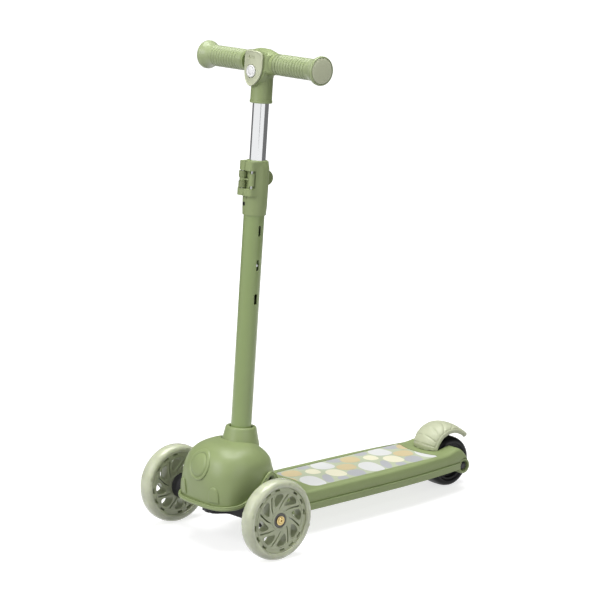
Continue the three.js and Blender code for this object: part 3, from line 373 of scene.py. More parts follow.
def refined(node_name, name, material, body, bevel=0.4, segments=2, angle=38, sharp=38):
    """The CAD node's own shape with softened edges, as a new piece."""
    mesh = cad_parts[node_name].data.copy()
    bm = bmesh.new()
    bm.from_mesh(mesh)
    bmesh.ops.remove_doubles(bm, verts=bm.verts, dist=1e-5)
    bmesh.ops.dissolve_limit(bm, angle_limit=math.radians(1.5), verts=bm.verts, edges=bm.edges)
    bm.to_mesh(mesh)
    bm.free()
    piece = adopt(mesh, name, material, body, [node_name], sharp=sharp)
    return bevelled(piece, bevel, segments, angle)


# ---------------------------------------------------------------- front wheels
WHEEL_R, CORE_R, CORE_HALF = 60, 48.5, 8.2
BLADES = 8
BEARING_SEAT_R = 11.1
BEARING_HALF = 3.5


def swirl(points, turn):
    """Points given as [radius, angle in degrees], turned about the wheel's centre."""
    return [(r * math.cos(math.radians(a + turn)), r * math.sin(math.radians(a + turn))) for r, a in points]


def soft_loop(points, turn, per=5):
    """A smooth closed loop through polar corner points."""
    corners = [Vector(p) for p in swirl(points, turn)]
    n = len(corners)
    out = []
    for i in range(n):
        p0, p1, p2, p3 = (corners[(i + k - 1) % n] for k in range(4))
        for k in range(per):
            t = k / per
            out.append(tuple(0.5 * ((2 * p1) + (p2 - p0) * t + (2 * p0 - 5 * p1 + 4 * p2 - p3) * t * t
                                    + (3 * p1 - p0 - 3 * p2 + p3) * t ** 3)))
    return out


# The core's openings as polar corners: radius, angle. The angle falls as the radius grows, so that the blades
# between them are swept.
WINDOW = [
    [22, 20], [26, 23], [31.5, 21], [36.5, 17], [39.8, 10], [40.4, 2], [39.6, -6], [36.5, -11], [32, -9],
    [27, -1], [23.5, 9],
]
SLIT = [[39.0, 20.4], [38.9, 23.6], [31, 30.6], [24, 39.4], [17.4, 49], [16.8, 47], [23, 35.6], [30.2, 27.2]]
DASHES = 16
DASH_TURN = 5
LAMP_TURNS = (72.5, 162.5, 252.5, 342.5)
LAMP_CLEARANCE = 9
LAMP_R = 53.6


def dash(turn):
    """A short curved slot near the core's edge."""
    return swirl([[44.0, -5.6], [46.9, -5.4], [47.2, 0], [46.9, 5.4], [44.0, 5.6], [44.2, 0]], turn)


def both_sides(half):
    """A closed profile from one half of it, whose last point is on the middle plane."""
    return [*half, *[[r, -h] for r, h in reversed(half[:-1])]]


def wheel_core(outward, face):
    """Disc with swept windows, slits and dashes, a lip round each window, three raised rings and the hub."""
    turns = [360 / BLADES * k for k in range(BLADES)]
    windows = [soft_loop(WINDOW, t) for t in turns]
    slits = [soft_loop(SLIT, t, per=4) for t in turns]
    spots = [DASH_TURN + 360 / DASHES * k for k in range(DASHES)]
    from_lamp = {t: min(abs((t - lamp + 180) % 360 - 180) for lamp in LAMP_TURNS) for t in spots}
    dashes = [dash(t) for t in spots if from_lamp[t] > LAMP_CLEARANCE]
    edge = circle(0, 0, CORE_R, 128)
    bore = circle(0, 0, BEARING_SEAT_R, 48)
    disc = plate("disc", [edge, bore, *windows, *slits, *dashes], -CORE_HALF, CORE_HALF, 0.5, face)
    beads = [tube("lip", [(8.1, u, v) for u, v in loop], 0.85, outward) for loop in windows]
    for r in (42.0, 13.4):
        ring = [[r - 0.9, 7.6], [r - 0.7, 8.9], [r, 9.15], [r + 0.7, 8.9], [r + 0.9, 7.6]]
        beads.append(lathe("ring", ring, steps=96, place=outward, closed=True))
    inner_ring = [[40.9, -8.1], [41.2, -9.0], [42.4, -9.0], [42.7, -8.1]]
    inner = lathe("inner_ring", inner_ring, steps=96, place=outward, closed=True)
    hub = [
        [11.2, -9], [11.2, 9], [12.2, 9.4], [14.6, 9.0], [15.2, 7.6], [15.2, -7.6], [14.6, -8.8], [12.2, -9],
    ]
    boss = lathe("boss", hub, place=outward, closed=True, fillet=0.4)
    return merged("core", [disc, boss, inner, *beads])


def front_wheel(side, sign):
    """Tyre, core, light blocks and both bearings; sign is 1 on the rider's left and -1 on the right."""
    body = f"front_{side}_wheel"
    out = shifted(x=sign * abs(TRACK), z=WHEEL_R)

    def outward(p):
        return out((sign * p[0], p[1], p[2]))

    def face(p):
        return out((sign * p[2], p[0], p[1]))

    shoulder = [
        [48.6, -9.6], [48.8, -10.6], [50.5, -11.6], [52.6, -12], [55, -11.5], [57.2, -10], [59, -7.2],
        [59.8, -4], [WHEEL_R, 0],
    ]
    tyre = lathe("tyre", both_sides(shoulder), steps=128, place=out, closed=True)
    adopt(tyre, f"{body}_tyre", "tyre", body, [f"front_{side}_tyre"], sharp=60)
    adopt(wheel_core(outward, face), f"{body}_core", "core", body, [f"front_{side}_core"], sharp=42)
    lamps(body, out)
    for part, h in (("outer", sign), ("inner", -sign)):
        races(f"{body}_{part}_bearing", body, f"front_{side}_{part}_bearing", h, 5.5, out)


def lamps(body, out):
    """Four small blocks moulded into the tyre, each holding a light."""
    corners = [(-1, -0.6), (-0.6, -1), (0.6, -1), (1, -0.6), (1, 0.6), (0.6, 1), (-0.6, 1), (-1, 0.6)]
    for k, degrees in enumerate(LAMP_TURNS):
        a = math.radians(degrees)
        along, up = Vector((0, -math.sin(a), math.cos(a))), Vector((0, math.cos(a), math.sin(a)))
        rings = []
        for x, half, tall in ((-12.02, 2.2, 2.0), (-11.6, 3.0, 2.7), (11.6, 3.0, 2.7), (12.02, 2.2, 2.0)):
            rings.append([Vector((x * 0.99, 0, 0)) + up * (LAMP_R + dv * tall) + along * (du * half)
                          for du, dv in corners])
        adopt(skin("lamp", rings, out), f"{body}_lamp_{k + 1}", "core", body, sharp=30)


def races(name, body, node_name, side, middle, out):
    """A ball bearing seen from its face: outer race, dished shield and inner race."""
    inner, outer = middle - BEARING_HALF, middle + BEARING_HALF
    profile = [
        [4.15, inner], [11, inner], [11, outer - 0.3], [10.7, outer], [9.4, outer], [9.2, outer - 0.5],
        [6.4, outer - 0.5], [6.2, outer - 0.1], [4.4, outer - 0.1], [4.15, outer - 0.4],
    ]
    mesh = lathe(name, [[r, side * h] for r, h in profile], steps=64, place=out, closed=True)
    adopt(mesh, name, "race", body, [node_name], sharp=25)


front_wheel("left", 1)
front_wheel("right", -1)


# From the middle of a front wheel to the seat of its bolt's head.
HEAD_SEAT = 9.3


def socket_bolt(name, node_name, sign, x, material, body, head=7):
    """A button-head bolt on the front axle: the shank, a domed rim and a hexagon socket."""
    profile = [
        [0.001, x - 56], [3.9, x - 56], [3.9, x], [head, x], [head, x + 0.7], [head - 0.4, x + 1.1],
        [head - 1.6, x + 1.2], [head - 2.0, x + 0.7], [head - 2.4, x + 0.7], [head - 2.8, x + 1.9],
        [head - 3.3, x + 2.35], [0.001, x + 2.4],
    ]
    mesh = lathe(name, [[r, sign * h] for r, h in profile], steps=48, place=shifted(z=WHEEL_R))
    low, high = sorted((sign * (x + 0.5), sign * (x + 4)))
    socket = prism("hex", circle(0, WHEEL_R, 1.9, 6), low, high, "x")
    adopt(carve(mesh, [socket]), name, material, body, [node_name], sharp=35)


for _side, _sign in (("left", 1), ("right", -1)):
    _seat = abs(TRACK) + HEAD_SEAT
    socket_bolt(f"front_{_side}_bolt", f"front_{_side}_axle_bolt", _sign, _seat, "brass", "truck")


# ---------------------------------------------------------------- rear wheel
REAR_R = 40


def rear_wheel():
    place = shifted(y=REAR_Y, z=REAR_R)
    shoulder = [
        [29.2, -16.6], [29.4, -17.8], [31.4, -18.8], [33.5, -19], [36, -18.2], [38.2, -15.8], [39.5, -11.5],
        [39.95, -6], [REAR_R, 0],
    ]
    tyre = lathe("rear_tyre", both_sides(shoulder), steps=112, place=place, closed=True)
    adopt(tyre, "rear_wheel_tyre", "black_tyre", "rear_wheel", ["rear_tyre"], sharp=60)
    hub = [
        [28.9, 17], [28.9, -17], [25.8, -17], [25, -11.6], [15.6, -11.6], [15, -17], [11.3, -17], [11.3, 17],
        [15, 17], [15.6, 11.6], [25, 11.6], [25.8, 17],
    ]
    spider = lathe("rear_hub", hub, steps=96, place=place, closed=True, fillet=0.6)
    adopt(spider, "rear_wheel_hub", "black", "rear_wheel", ["rear_hub"], sharp=30)
    for side, sign in (("left", 1), ("right", -1)):
        races(f"rear_wheel_{side}_bearing", "rear_wheel", f"rear_{side}_bearing", sign, 13.5, place)


rear_wheel()

# ---------------------------------------------------------------- front shell
# Sections: height, half width, front y, rear y, squareness of the front and rear halves.
SECTIONS = [
    [40, 62.5, -47.5, 68.5, 3.6, 2.9], [64, 63.5, -49.5, 69.5, 3.6, 2.9], [85, 64.3, -51, 70.3, 3.4, 2.9],
    [100, 64.5, -51.3, 69.5, 3.0, 2.6], [113, 64, -49.8, 67.5, 2.8, 2.3], [124, 62, -46.8, 66, 2.6, 2.2],
    [133, 57.5, -42.8, 60, 2.5, 2.1], [141, 50, -36, 51, 2.4, 2], [147, 40, -27.5, 42.5, 2.2, 2],
    [151, 26, -15, 32, 2.1, 2], [152.4, 8, 3, 18, 2, 2],
]
# y where the front half of a section meets its rear half.
WAIST = 14
# y, height of the shell's lower edge.
ARCH = [
    [-60, 66], [-34, 67.5], [-22, 69], [-8, 74], [2, 80], [12, 88], [22, 98], [29, 106], [34, 109.5],
    [38, 108.5], [43, 103], [49, 94], [54, 83], [60, 70], [66, 57], [72.5, 46],
]
LOWEST_EDGE = 66.6
REAR_OF_ARCH = 61
SHELL_WALL = 2.4


def shell_point(angle, z, grow=0.0):
    """A point of the shell at this angle round it and this height, moved outward by grow."""
    a, front, rear, p, q = spline(SECTIONS, z)
    c, s = math.cos(angle), math.sin(angle)
    power = 2 / (p if s < 0 else q)
    waist = min(WAIST, rear - 2)
    reach = waist - front if s < 0 else rear - waist
    bend = lambda v: math.copysign(abs(v) ** power, v)
    return ((a + grow) * bend(c), waist + (reach + grow) * bend(s), z)


def arch(y):
    return spline(ARCH, y)[0]


def shell_foot(angle):
    """Height of the shell's lower edge at this angle round it."""
    z = 80.0
    for _ in range(14):
        y = shell_point(angle, z)[1]
        z = 0.5 * z + 0.5 * (LOWEST_EDGE if y > REAR_OF_ARCH else max(LOWEST_EDGE, arch(y)))
    return z


def front_shell():
    """The domed housing: a skin closed at the top, thickened inward and cut open for the neck."""
    columns, rows = 168, 44
    angles = [2 * math.pi * k / columns for k in range(columns)]
    feet = [shell_foot(a) for a in angles]
    top = SECTIONS[-1][0]
    rings = []
    for i in range(rows + 1):
        t = math.sin(math.pi / 2 * i / rows)
        rings.append([shell_point(a, foot + (top - foot) * t) for a, foot in zip(angles, feet)])
    mesh = skin("shell", rings, caps=False)
    neck = [[0, -52], [29.2, -52], [29.2, -28], [24.5, 12], [0, 12]]
    hole = lathe("neck_hole", neck, axis="z", steps=96, place=post)
    bm = bmesh.new()
    bm.from_mesh(mesh)
    bm.faces.new([v for v in bm.verts if v.is_boundary and v.co.z > 0.15])
    bmesh.ops.recalc_face_normals(bm, faces=bm.faces)
    shell = bpy.data.meshes.new("shell_outer")
    bm.to_mesh(shell)
    bm.free()
    holder = bpy.data.objects.new("shell_holder", shell)
    bpy.context.scene.collection.objects.link(holder)
    wall = holder.modifiers.new("wall", "SOLIDIFY")
    wall.thickness = SHELL_WALL * MM
    wall.offset = -1
    bpy.context.view_layer.update()
    thick = bpy.data.meshes.new_from_object(holder.evaluated_get(bpy.context.evaluated_depsgraph_get()))
    bpy.data.objects.remove(holder)
    return adopt(carve(thick, [hole]), "shell", "shell", "deck", ["front_shell"], sharp=40)


front_shell()


def collar():
    outer = [
        [27.3, -38], [28.9, -27], [26.2, -16], [23.4, -3.2], [22.7, -1.2], [21.2, 0.0], [18.2, 0.0],
        [17.0, -1.0],
    ]
    inner = [[17.0, -18], [22.4, -23], [24.6, -38]]
    return lathe("collar", [*outer, *inner], axis="z", steps=96, place=post, closed=True, fillet=0.8)


adopt(collar(), "neck", "shell", "deck", ["neck_collar"], sharp=35)


def front_surface(x, z, grow):
    """A point of the shell's front face at this x and height, grown outward."""
    a, front, rear, p, _ = spline(SECTIONS, z)
    waist = min(WAIST, rear - 2)
    share = min(abs(x) / (a + grow), 0.9999)
    return (x, waist - (waist - front + grow) * (1 - share ** p) ** (1 / p), z)


def raised_badge(name, centre, outline, heights, material, node_name):
    """A low relief on the shell's face. heights lists [share of the way out, height above the shell]."""
    rings = []
    for share, height in heights:
        ring = []
        for u, v in outline:
            x, z = centre[0] + u * share, centre[1] + v * share
            ring.append(front_surface(x, z, height))
        rings.append(ring)
    mesh = skin(name, rings, caps=True)
    adopt(mesh, name, material, "deck", [node_name], sharp=50)


EYE = [
    [1.0, 0.32], [0.995, 1.2], [0.97, 2.0], [0.925, 2.4], [0.86, 2.3], [0.81, 1.7], [0.775, 0.7],
    [0.75, 0.45], [0.725, 0.7], [0.69, 1.7], [0.64, 2.15], [0.5, 2.35], [0.3, 2.4], [0.02, 2.4],
]
raised_badge("shell_eye_relief", (0, 123), circle(0, 0, 22, 96), EYE, "shell", "shell_eye")


def tab_outline():
    """A flat foot and a round-headed arch over it."""
    half, foot, tall = 9, -11.5, 23.5
    out = [(-half, foot), (0, foot), (half, foot)]
    for k in range(1, 24):
        t = k / 24
        out.append((half * math.cos(math.pi * t), foot + tall * math.sin(math.pi * t) ** 0.62))
    return out


TAB = [[1.0, 0.32], [0.995, 1.0], [0.96, 1.6], [0.9, 1.85], [0.7, 1.95], [0.3, 2.0], [0.02, 2.0]]
for _side, _sign in (("left", 1), ("right", -1)):
    _tab = f"shell_{_side}_tab"
    raised_badge(f"{_tab}_relief", (_sign * 36, 85), tab_outline(), TAB, "shell", _tab)


def rim():
    """The grooved band along the lower edge of the shell, over the arch and down to the deck."""
    steps, side, end = 120, 66.8, 72.4
    section_ring = [shell_point(2 * math.pi * k / steps, 80, 2.5) for k in range(steps)]
    front = [*section_ring[steps // 2:], section_ring[0]]
    rear = [WAIST + 1 + 1.2 * k for k in range(49) if WAIST + 1 + 1.2 * k <= end]
    plan = [*[(-side, y) for y in reversed(rear)], *[(p[0], p[1]) for p in front], *[(side, y) for y in rear]]
    path = [Vector((x, y, arch(y))) for x, y in plan]
    form = [
        (-2.1, -3), (0.9, -3), (1.7, -2.5), (2.05, -1.4), (2.05, 0.2), (1.75, 0.9), (1.3, 1.15), (1.3, 1.45),
        (1.55, 1.75), (1.6, 2.3), (1.2, 2.85), (0.5, 3.05), (-2.1, 3),
    ]
    rings = []
    for i, p in enumerate(path):
        flow = (path[min(i + 1, len(path) - 1)] - path[max(i - 1, 0)]).normalized()
        flat = Vector((flow.y, -flow.x, 0))
        out = flat.normalized() if flat.length > 1e-6 else Vector((math.copysign(1, p.x), 0, 0))
        if out.dot(Vector((p.x, p.y - WAIST, 0))) < 0:
            out.negate()
        up = flow.cross(out).normalized()
        if up.dot(Vector((0, 0, 1))) < 0 and abs(up.z) > 0.05:
            up.negate()
        rings.append([p + out * u + up * v for u, v in form])
    return skin("rim", rings)


adopt(rim(), "rim", "shell", "deck", ["shell_rim"], sharp=45)

# ---------------------------------------------------------------- deck
# y, half width at the seam, half width at the top, height of the top.
STATIONS = [
    [58, 63, 59, 66], [76, 63.5, 60.5, 66], [140, 64, 60, 66], [220, 64, 58.5, 66], [300, 63, 57, 66],
    [350, 60.5, 54.5, 66], [385, 57, 51, 66], [408, 54.5, 48.5, 66.2], [420, 53, 47, 68.2],
    [430, 51.5, 45.5, 70], [437, 50.5, 44.5, 69.4], [444, 49.5, 43.5, 65.5], [450, 48.5, 42.5, 59],
    [455, 46.5, 41, 51.5],
]
SEAM = 48
SLOT_HALF = 24.5


def deck_half(y):
    """Half of the deck's section at y, from the seam up the side and over the rounded corner."""
    seam, top, height = spline(STATIONS, y)
    rise = height - SEAM
    side = [
        [seam - 1.9, SEAM], [seam - 0.5, SEAM + 0.02 * rise], [seam, SEAM + 0.12 * rise],
        [seam - 0.25, SEAM + 0.35 * rise], [seam - 1.0, SEAM + 0.6 * rise],
    ]
    corner = []
    x0, z0 = seam - 1.8, SEAM + 0.72 * rise
    for k in range(7):
        a = math.pi / 2 * k / 6
        corner.append([top - 3.5 + (x0 - top + 3.5) * math.cos(a), z0 + (height - z0) * math.sin(a)])
    return [*side, *corner, [top - 9, height]]


def pad_outline(grow=0.0, step=8):
    """Rounded front corners, and a rear edge that bends in at its middle."""
    half, front, rear, waist, r = 48 + grow, 134 - grow, 391 + grow, 383 + grow, 11
    shoulder, dip = 7, 8
    out = []
    for k in range(step + 1):
        a = -math.pi / 2 + math.pi / 2 * k / step
        out.append((half - r + r * math.cos(a), front + r + r * math.sin(a)))
    for k in range(step + 1):
        t = k / step
        u = (1 - t) ** 2 * half + 2 * t * (1 - t) * half + t * t * (half - shoulder)
        out.append((u, (1 - t) ** 2 * (rear - 6) + (1 - (1 - t) ** 2) * rear))
    for k in range(1, 24):
        t = k / 24
        u = (half - shoulder) * (1 - 2 * t)
        out.append((u, (1 - t) ** 2 * rear + 2 * t * (1 - t) * (waist - dip) + t * t * rear))
    mirrored = [(-u, v) for u, v in reversed(out[:2 * step + 2])]
    return [*out, *mirrored]


def deck_top():
    """The deck shell: hollow below, with a pocket for the pad and an open fork round the rear wheel."""
    start, end = STATIONS[0][0], STATIONS[-1][0]
    coarse = [62 + 6 * k for k in range(57)]
    fine = [404 + 2.5 * k for k in range(21) if 404 + 2.5 * k < end]
    rings = []
    for y in sorted({start, *coarse, *fine, end}):
        half = deck_half(y)
        rings.append([(x, y, z) for x, z in half] + [(-x, y, z) for x, z in reversed(half)])
    body = skin("deck", rings)
    under = [(-56, 70), (56, 70), (56, 300), (48, 386), (-48, 386), (-56, 300)]
    across = [SLOT_HALF * k / 12 for k in range(-12, 13)]
    fork = [*[(x, 398.3 + 13.5 * (x / SLOT_HALF) ** 2) for x in across], (SLOT_HALF, 600), (-SLOT_HALF, 600)]
    cutters = [
        prism("hollow", under, 40, 59.8),
        prism("pad_pocket", pad_outline(0.3), 62.5, 80),
        prism("mouth", [(-27.5, 40), (27.5, 40), (27.5, 76), (-27.5, 76)], 30, 60),
        prism("slot", fork, 10, 120),
        prism("boss", circle(REAR_Y, REAR_R, 13.2, 48), 22, 60, "x"),
        prism("boss", circle(REAR_Y, REAR_R, 13.2, 48), -60, -22, "x"),
    ]
    piece = adopt(carve(body, cutters), "deck_shell", "sage", "deck", ["deck_top"], sharp=35)
    return bevelled(piece, 0.7, 2, 50)


deck_top()


def blob(cu, cv, a, b, turn, lumps=0.0, steps=36):
    """A pebble outline: a soft superellipse with a slight lopsidedness."""
    out = []
    for k in range(steps):
        t = 2 * math.pi * k / steps
        c, s = math.cos(t), math.sin(t)
        r = 1 + lumps * math.cos(2 * t + 0.6) + 0.6 * lumps * math.sin(3 * t)
        u, v = a * r * math.copysign(abs(c) ** 0.86, c), b * r * math.copysign(abs(s) ** 0.86, s)
        w = math.radians(turn)
        out.append((cu + u * math.cos(w) - v * math.sin(w), cv + u * math.sin(w) + v * math.cos(w)))
    return out


# One repeat of the printed pebbles: colour, centre x and y, half sizes, turn, lopsidedness.
PITCH = 118.5
PEBBLES = [
    ("slate", 27, 180, 21, 8, -27, 0.04),
    ("slate", 40, 200, 10, 9, -20, 0.05),
    ("slate", 33, 233, 17, 15, -20, 0.06),
    ("slate", -39, 250, 10, 14, -25, 0.05),
    ("slate", -42, 188, 9, 12, 10, 0.05),
    ("mist", 22, 153, 25, 18, -8, 0.07),
    ("mist", -30, 217, 19, 18, 8, 0.07),
    ("cream", -15, 185.5, 13, 11.5, -6, 0.04),
    ("cream", 12.5, 208.5, 18.5, 15, -4, 0.04),
    ("peach", -1, 241.5, 15, 16.5, -14, 0.05),
    ("peach", -27.5, 272, 15, 16.5, -12, 0.05),
]
PAD_FLOOR, PAD_TOP = 62.8, 65.4


def pad():
    """The pad and its print. Each ink has its own height, so that no two overlapping prints share a plane."""
    base = plate("pad", [pad_outline()], PAD_FLOOR, PAD_TOP, 0.5, at)
    adopt(base, "pad_base", "pad", "deck", ["deck_pad"], sharp=35)
    trim = [prism("trim", pad_outline(-1.2), 60, 70)]
    for i, (colour, u, v, a, b, turn, lumps) in enumerate(PEBBLES):
        top = PAD_TOP + 0.02 + 0.015 * i
        for k in (-1, 0, 1, 2):
            if 118 < v + PITCH * k < 400:
                shape = prism("ink", blob(u, v + PITCH * k, a, b, turn, lumps), PAD_TOP - 0.3, top)
                ink = carve(shape, trim, "INTERSECT")
                adopt(ink, f"pad_print_{i + 1}_{k + 2}", colour, "deck", sharp=35)


pad()

refined("deck_tray", "tray", "sage", "deck", 0.9, 3)
refined("truck_beam", "truck_casting", "black", "truck", 0.9, 3)
refined("chassis_nose", "nose", "black", "deck", 0.6)

# ---------------------------------------------------------------- fender
# From the hinge back: y and height of the crest, half width, y and height of the side edge.
FENDER = [
    [397.5, 67, 25.5, 409.5, 67], [396, 73, 26, 411, 71.5], [397, 80, 26.3, 414, 76.5],
    [401, 87.5, 26.5, 418, 81.5], [407, 93.8, 26.5, 423, 85.8], [416, 99.5, 26.5, 430, 88.8],
    [427, 103.2, 26.4, 439, 91], [440, 103.8, 26, 448.5, 90.8], [452, 101.2, 25.4, 456.5, 88.4],
    [462, 96.6, 24.6, 463.5, 85.2], [471, 91, 23.6, 469, 81.6], [478.5, 85.8, 22.2, 473, 78.9],
    [484.3, 81.9, 20, 475.5, 77.2],
]
FENDER_TABLE = [[i, *row] for i, row in enumerate(FENDER)]
# Each groove runs across from the crease beside the edge: its place along the fender at the crease, how far
# it climbs towards the front on its way to the middle, and its depth.
GROOVES = [
    (1.0, 0.5, 1.0), (2.2, 1.0, 1.1), (3.5, 1.5, 1.1), (4.9, 1.9, 1.1), (6.4, 2.2, 0.9), (7.9, 2.3, 0.8),
]
CREASE = 0.80


def fender_sink(u, w):
    """Depth of the relief at station u, where w runs from the middle (0) to the edge (1)."""
    sink = 0.0
    inside_crease = 1 - smoothstep(CREASE - 0.05, CREASE - 0.01, w)
    for start, climb, depth in GROOVES:
        line = start + climb * (1 - (w / CREASE) ** 1.6)
        width = 0.13 + 0.05 * (1 - w)
        sink += depth * math.exp(-((u - line) / width) ** 2) * inside_crease * smoothstep(0.02, 0.2, w)
    sink += 0.9 * math.exp(-((w - CREASE) / 0.022) ** 2) * (1 - smoothstep(10.2, 10.8, u))
    sink -= 0.3 * smoothstep(0.84, 0.88, w) * (1 - smoothstep(0.97, 1.0, w))
    return sink + 0.45 * math.exp(-((u - 9.8) / 0.12) ** 2) * (1 - smoothstep(0.8, 0.84, w))


def fender():
    """The brake fender: a bent shell with its relief, the hinge lug and the holder of the shoe."""
    rows, across, wall = 150, 90, 2.8
    last = len(FENDER) - 1
    rings = []
    for i in range(rows + 1):
        u = last * i / rows
        crest_y, crest_z, half, edge_y, edge_z = spline(FENDER_TABLE, u)
        a = spline(FENDER_TABLE, max(u - 0.3, 0))
        b = spline(FENDER_TABLE, min(u + 0.3, last))
        inward = Vector((b[1] - a[1], -(b[0] - a[0]))).normalized()
        outer, inner = [], []
        for k in range(across + 1):
            w = 2 * k / across - 1
            angle = math.pi / 2 * w
            lift = math.cos(angle) ** 0.8 if abs(w) < 0.9999 else 0.0
            sink = fender_sink(u, abs(w))
            y = edge_y + (crest_y - edge_y) * lift
            z = edge_z + (crest_z - edge_z) * lift
            outer.append(((half - sink * 0.6) * math.sin(angle), y + inward.x * sink, z + inward.y * sink))
            inner.append(((half - wall * 0.9) * math.sin(angle), y + inward.x * wall, z + inward.y * wall))
        rings.append([*outer, *reversed(inner)])
    lug = prism("lug", [(398, 53), (406, 53), (407.5, 60), (407.5, 69), (403, 80), (399.3, 80)], -12, 12, "x")
    holder = prism("shoe_holder", [(431, 94.3), (441, 94.3), (441, 101.4), (431, 101.4)], -8, 8, "x")
    mesh = merged("fender", [skin("fender", rings), lug, holder])
    piece = adopt(mesh, "fender", "pale", "brake", ["brake_fender"], sharp=50)
    return bevelled(piece, 0.5, 2, 60)


fender()
refined("brake_shoe", "shoe", "rubber", "brake", 0.5)

# ---------------------------------------------------------------- post and clamp
POST_R, POST_WALL, POST_FLOOR, POST_TOP = 15.4, 1.6, -74, 386
POST_BOLT_Z = -50
BUTTON_Z = 242.5
SLOT_Z = [192, BUTTON_Z, 293]
TUBE_R, TUBE_WALL, TUBE_FLOOR, TUBE_TOP = 12, 1.5, 222, 520


def pipe(name, radius, wall, low, high):
    """A round tube on the post's axis."""
    outline = [[radius - wall, low], [radius, low], [radius, high], [radius - wall, high]]
    return lathe(name, outline, axis="z", steps=96, place=post, closed=True)


def outer_post():
    body = pipe("post", POST_R, POST_WALL, POST_FLOOR, POST_TOP)
    slots = [prism("slot", round_rect(-2.5, z - 8, 2.5, z + 8, 2.3), 8, 30, "x", post) for z in SLOT_Z]
    cross = prism("cross", circle(0, POST_BOLT_Z, 2.8, 20), -30, 30, "x", post)
    piece = adopt(carve(body, [*slots, cross]), "post_tube", "post", "deck", ["outer_post"], sharp=35)
    return bevelled(piece, 0.25, 2, 50)


def inner_tube():
    body = pipe("tube", TUBE_R, TUBE_WALL, TUBE_FLOOR, TUBE_TOP)
    hole = prism("hole", circle(0, BUTTON_Z, 2.3, 20), 4, 20, "x", post)
    adopt(carve(body, [hole]), "height_tube", "chrome", "t_bar", ["inner_tube"], sharp=35)


outer_post()
inner_tube()
refined("clamp_collar", "clamp_body", "sage", "deck", 0.7, 3, angle=35)
# The lever arm takes the darkened sage, which paints the shade on its tip
refined("clamp_lever", "lever_arm", "lever", "lever", 0.7, 3, angle=35)
refined("clamp_trunnion", "trunnion", "sage", "deck", 0.4)

# ---------------------------------------------------------------- handlebar
refined("tbar_body", "t_joint", "sage", "t_bar", 1.1, 4, angle=32, sharp=30)


def handle_place(sign):
    """Lays a body turned about x along the handle tube, towards the left (1) or the right (-1)."""
    return lambda p: post((sign * p[0], p[1], p[2] + HANDLE_T))


RIBS, RIB_PITCH, FIRST_RIB = 11, 6.2, 46


def grip(side, sign):
    """The ribbed sleeve with its bell end, and the cap in the bell."""
    ribs = []
    for k in range(RIBS):
        x = FIRST_RIB + RIB_PITCH * k
        ribs += [[14.0, x - 2.8], [15.1, x - 2.0], [15.6, x - 0.9]]
        ribs += [[15.6, x + 0.9], [15.1, x + 2.0], [14.0, x + 2.8]]
    bell = [
        [15.5, 112], [16.1, 116], [17.3, 119.6], [19.2, 123], [20.5, 125.4], [21, 127], [21, 129.2],
        [20.6, 130.4], [19.9, 131], [18.9, 131], [18.9, 129], [8.4, 129],
    ]
    profile = [[8.4, 36.4], [14.9, 36.4], [15.3, 36.8], [15.3, 43], *ribs, [15.2, 109.5], *bell]
    sleeve = lathe("grip", profile, steps=96, place=handle_place(sign), closed=True)
    adopt(sleeve, f"{side}_handle_grip", "grip", "t_bar", [f"{side}_grip"], sharp=50)
    cap = [
        [0.001, 118], [6.2, 118], [6.2, 129.3], [18.5, 129.3], [18.5, 130.6], [17.9, 131.3], [15, 132.0],
        [10, 132.5], [4, 132.8], [0.001, 132.8],
    ]
    plug = lathe("cap", cap, steps=96, place=handle_place(sign), fillet=0.3)
    adopt(plug, f"{side}_handle_cap", "pale", "t_bar", [f"{side}_grip_cap"], sharp=45)


grip("left", 1)
grip("right", -1)


def shield(grow=0.0, steps=12):
    """Half-round bottom, straight sides and a softly arched top, in (x, height on the post)."""
    half, top, waist, tip = 21 + grow, 555.5 + grow, 532, 504 - grow

    def bezier(p):
        out = []
        for k in range(steps):
            t = k / steps
            c = [(1 - t) ** 3, 3 * t * (1 - t) ** 2, 3 * t * t * (1 - t), t ** 3]
            out.append((sum(w * q[0] for w, q in zip(c, p)), sum(w * q[1] for w, q in zip(c, p))))
        return out

    right = [*bezier([(0, tip), (8, tip), (half - 1, waist - 17), (half, waist)]),
             *bezier([(half, waist), (half, waist + 6), (half, top - 9), (half, top - 8)]),
             *bezier([(half, top - 8), (half - 0.7, top - 3.8), (half - 4, top - 0.9),
                      (half - 9, top - 0.6)]),
             *bezier([(half - 9, top - 0.6), (half - 12, top + 0.1), (3, top + 0.4), (0, top + 0.4)])]
    left = [(-u, v) for u, v in reversed(right[1:])]
    return [*right, (0, top + 0.4), *left]


BADGE_FRONT, BADGE_BEND, BADGE_THICK = -23.6, 46, 3.6
BADGE_MIDDLE = 530
MEDAL_Z = 525.6


def on_badge(p):
    """(x, height on the post, height above the badge's back) laid on the badge's bent face."""
    turn = p[0] / BADGE_BEND
    radius = BADGE_BEND - BADGE_THICK + p[2]
    return post((radius * math.sin(turn), BADGE_FRONT + BADGE_BEND - radius * math.cos(turn), p[1]))


def medal_place(foot, rise):
    """Lays a turned body on the medal's axis with its foot at this y, rising backward (1) or forward (-1)."""
    return lambda p: post((p[0], foot + rise * p[2], p[1] + MEDAL_Z))


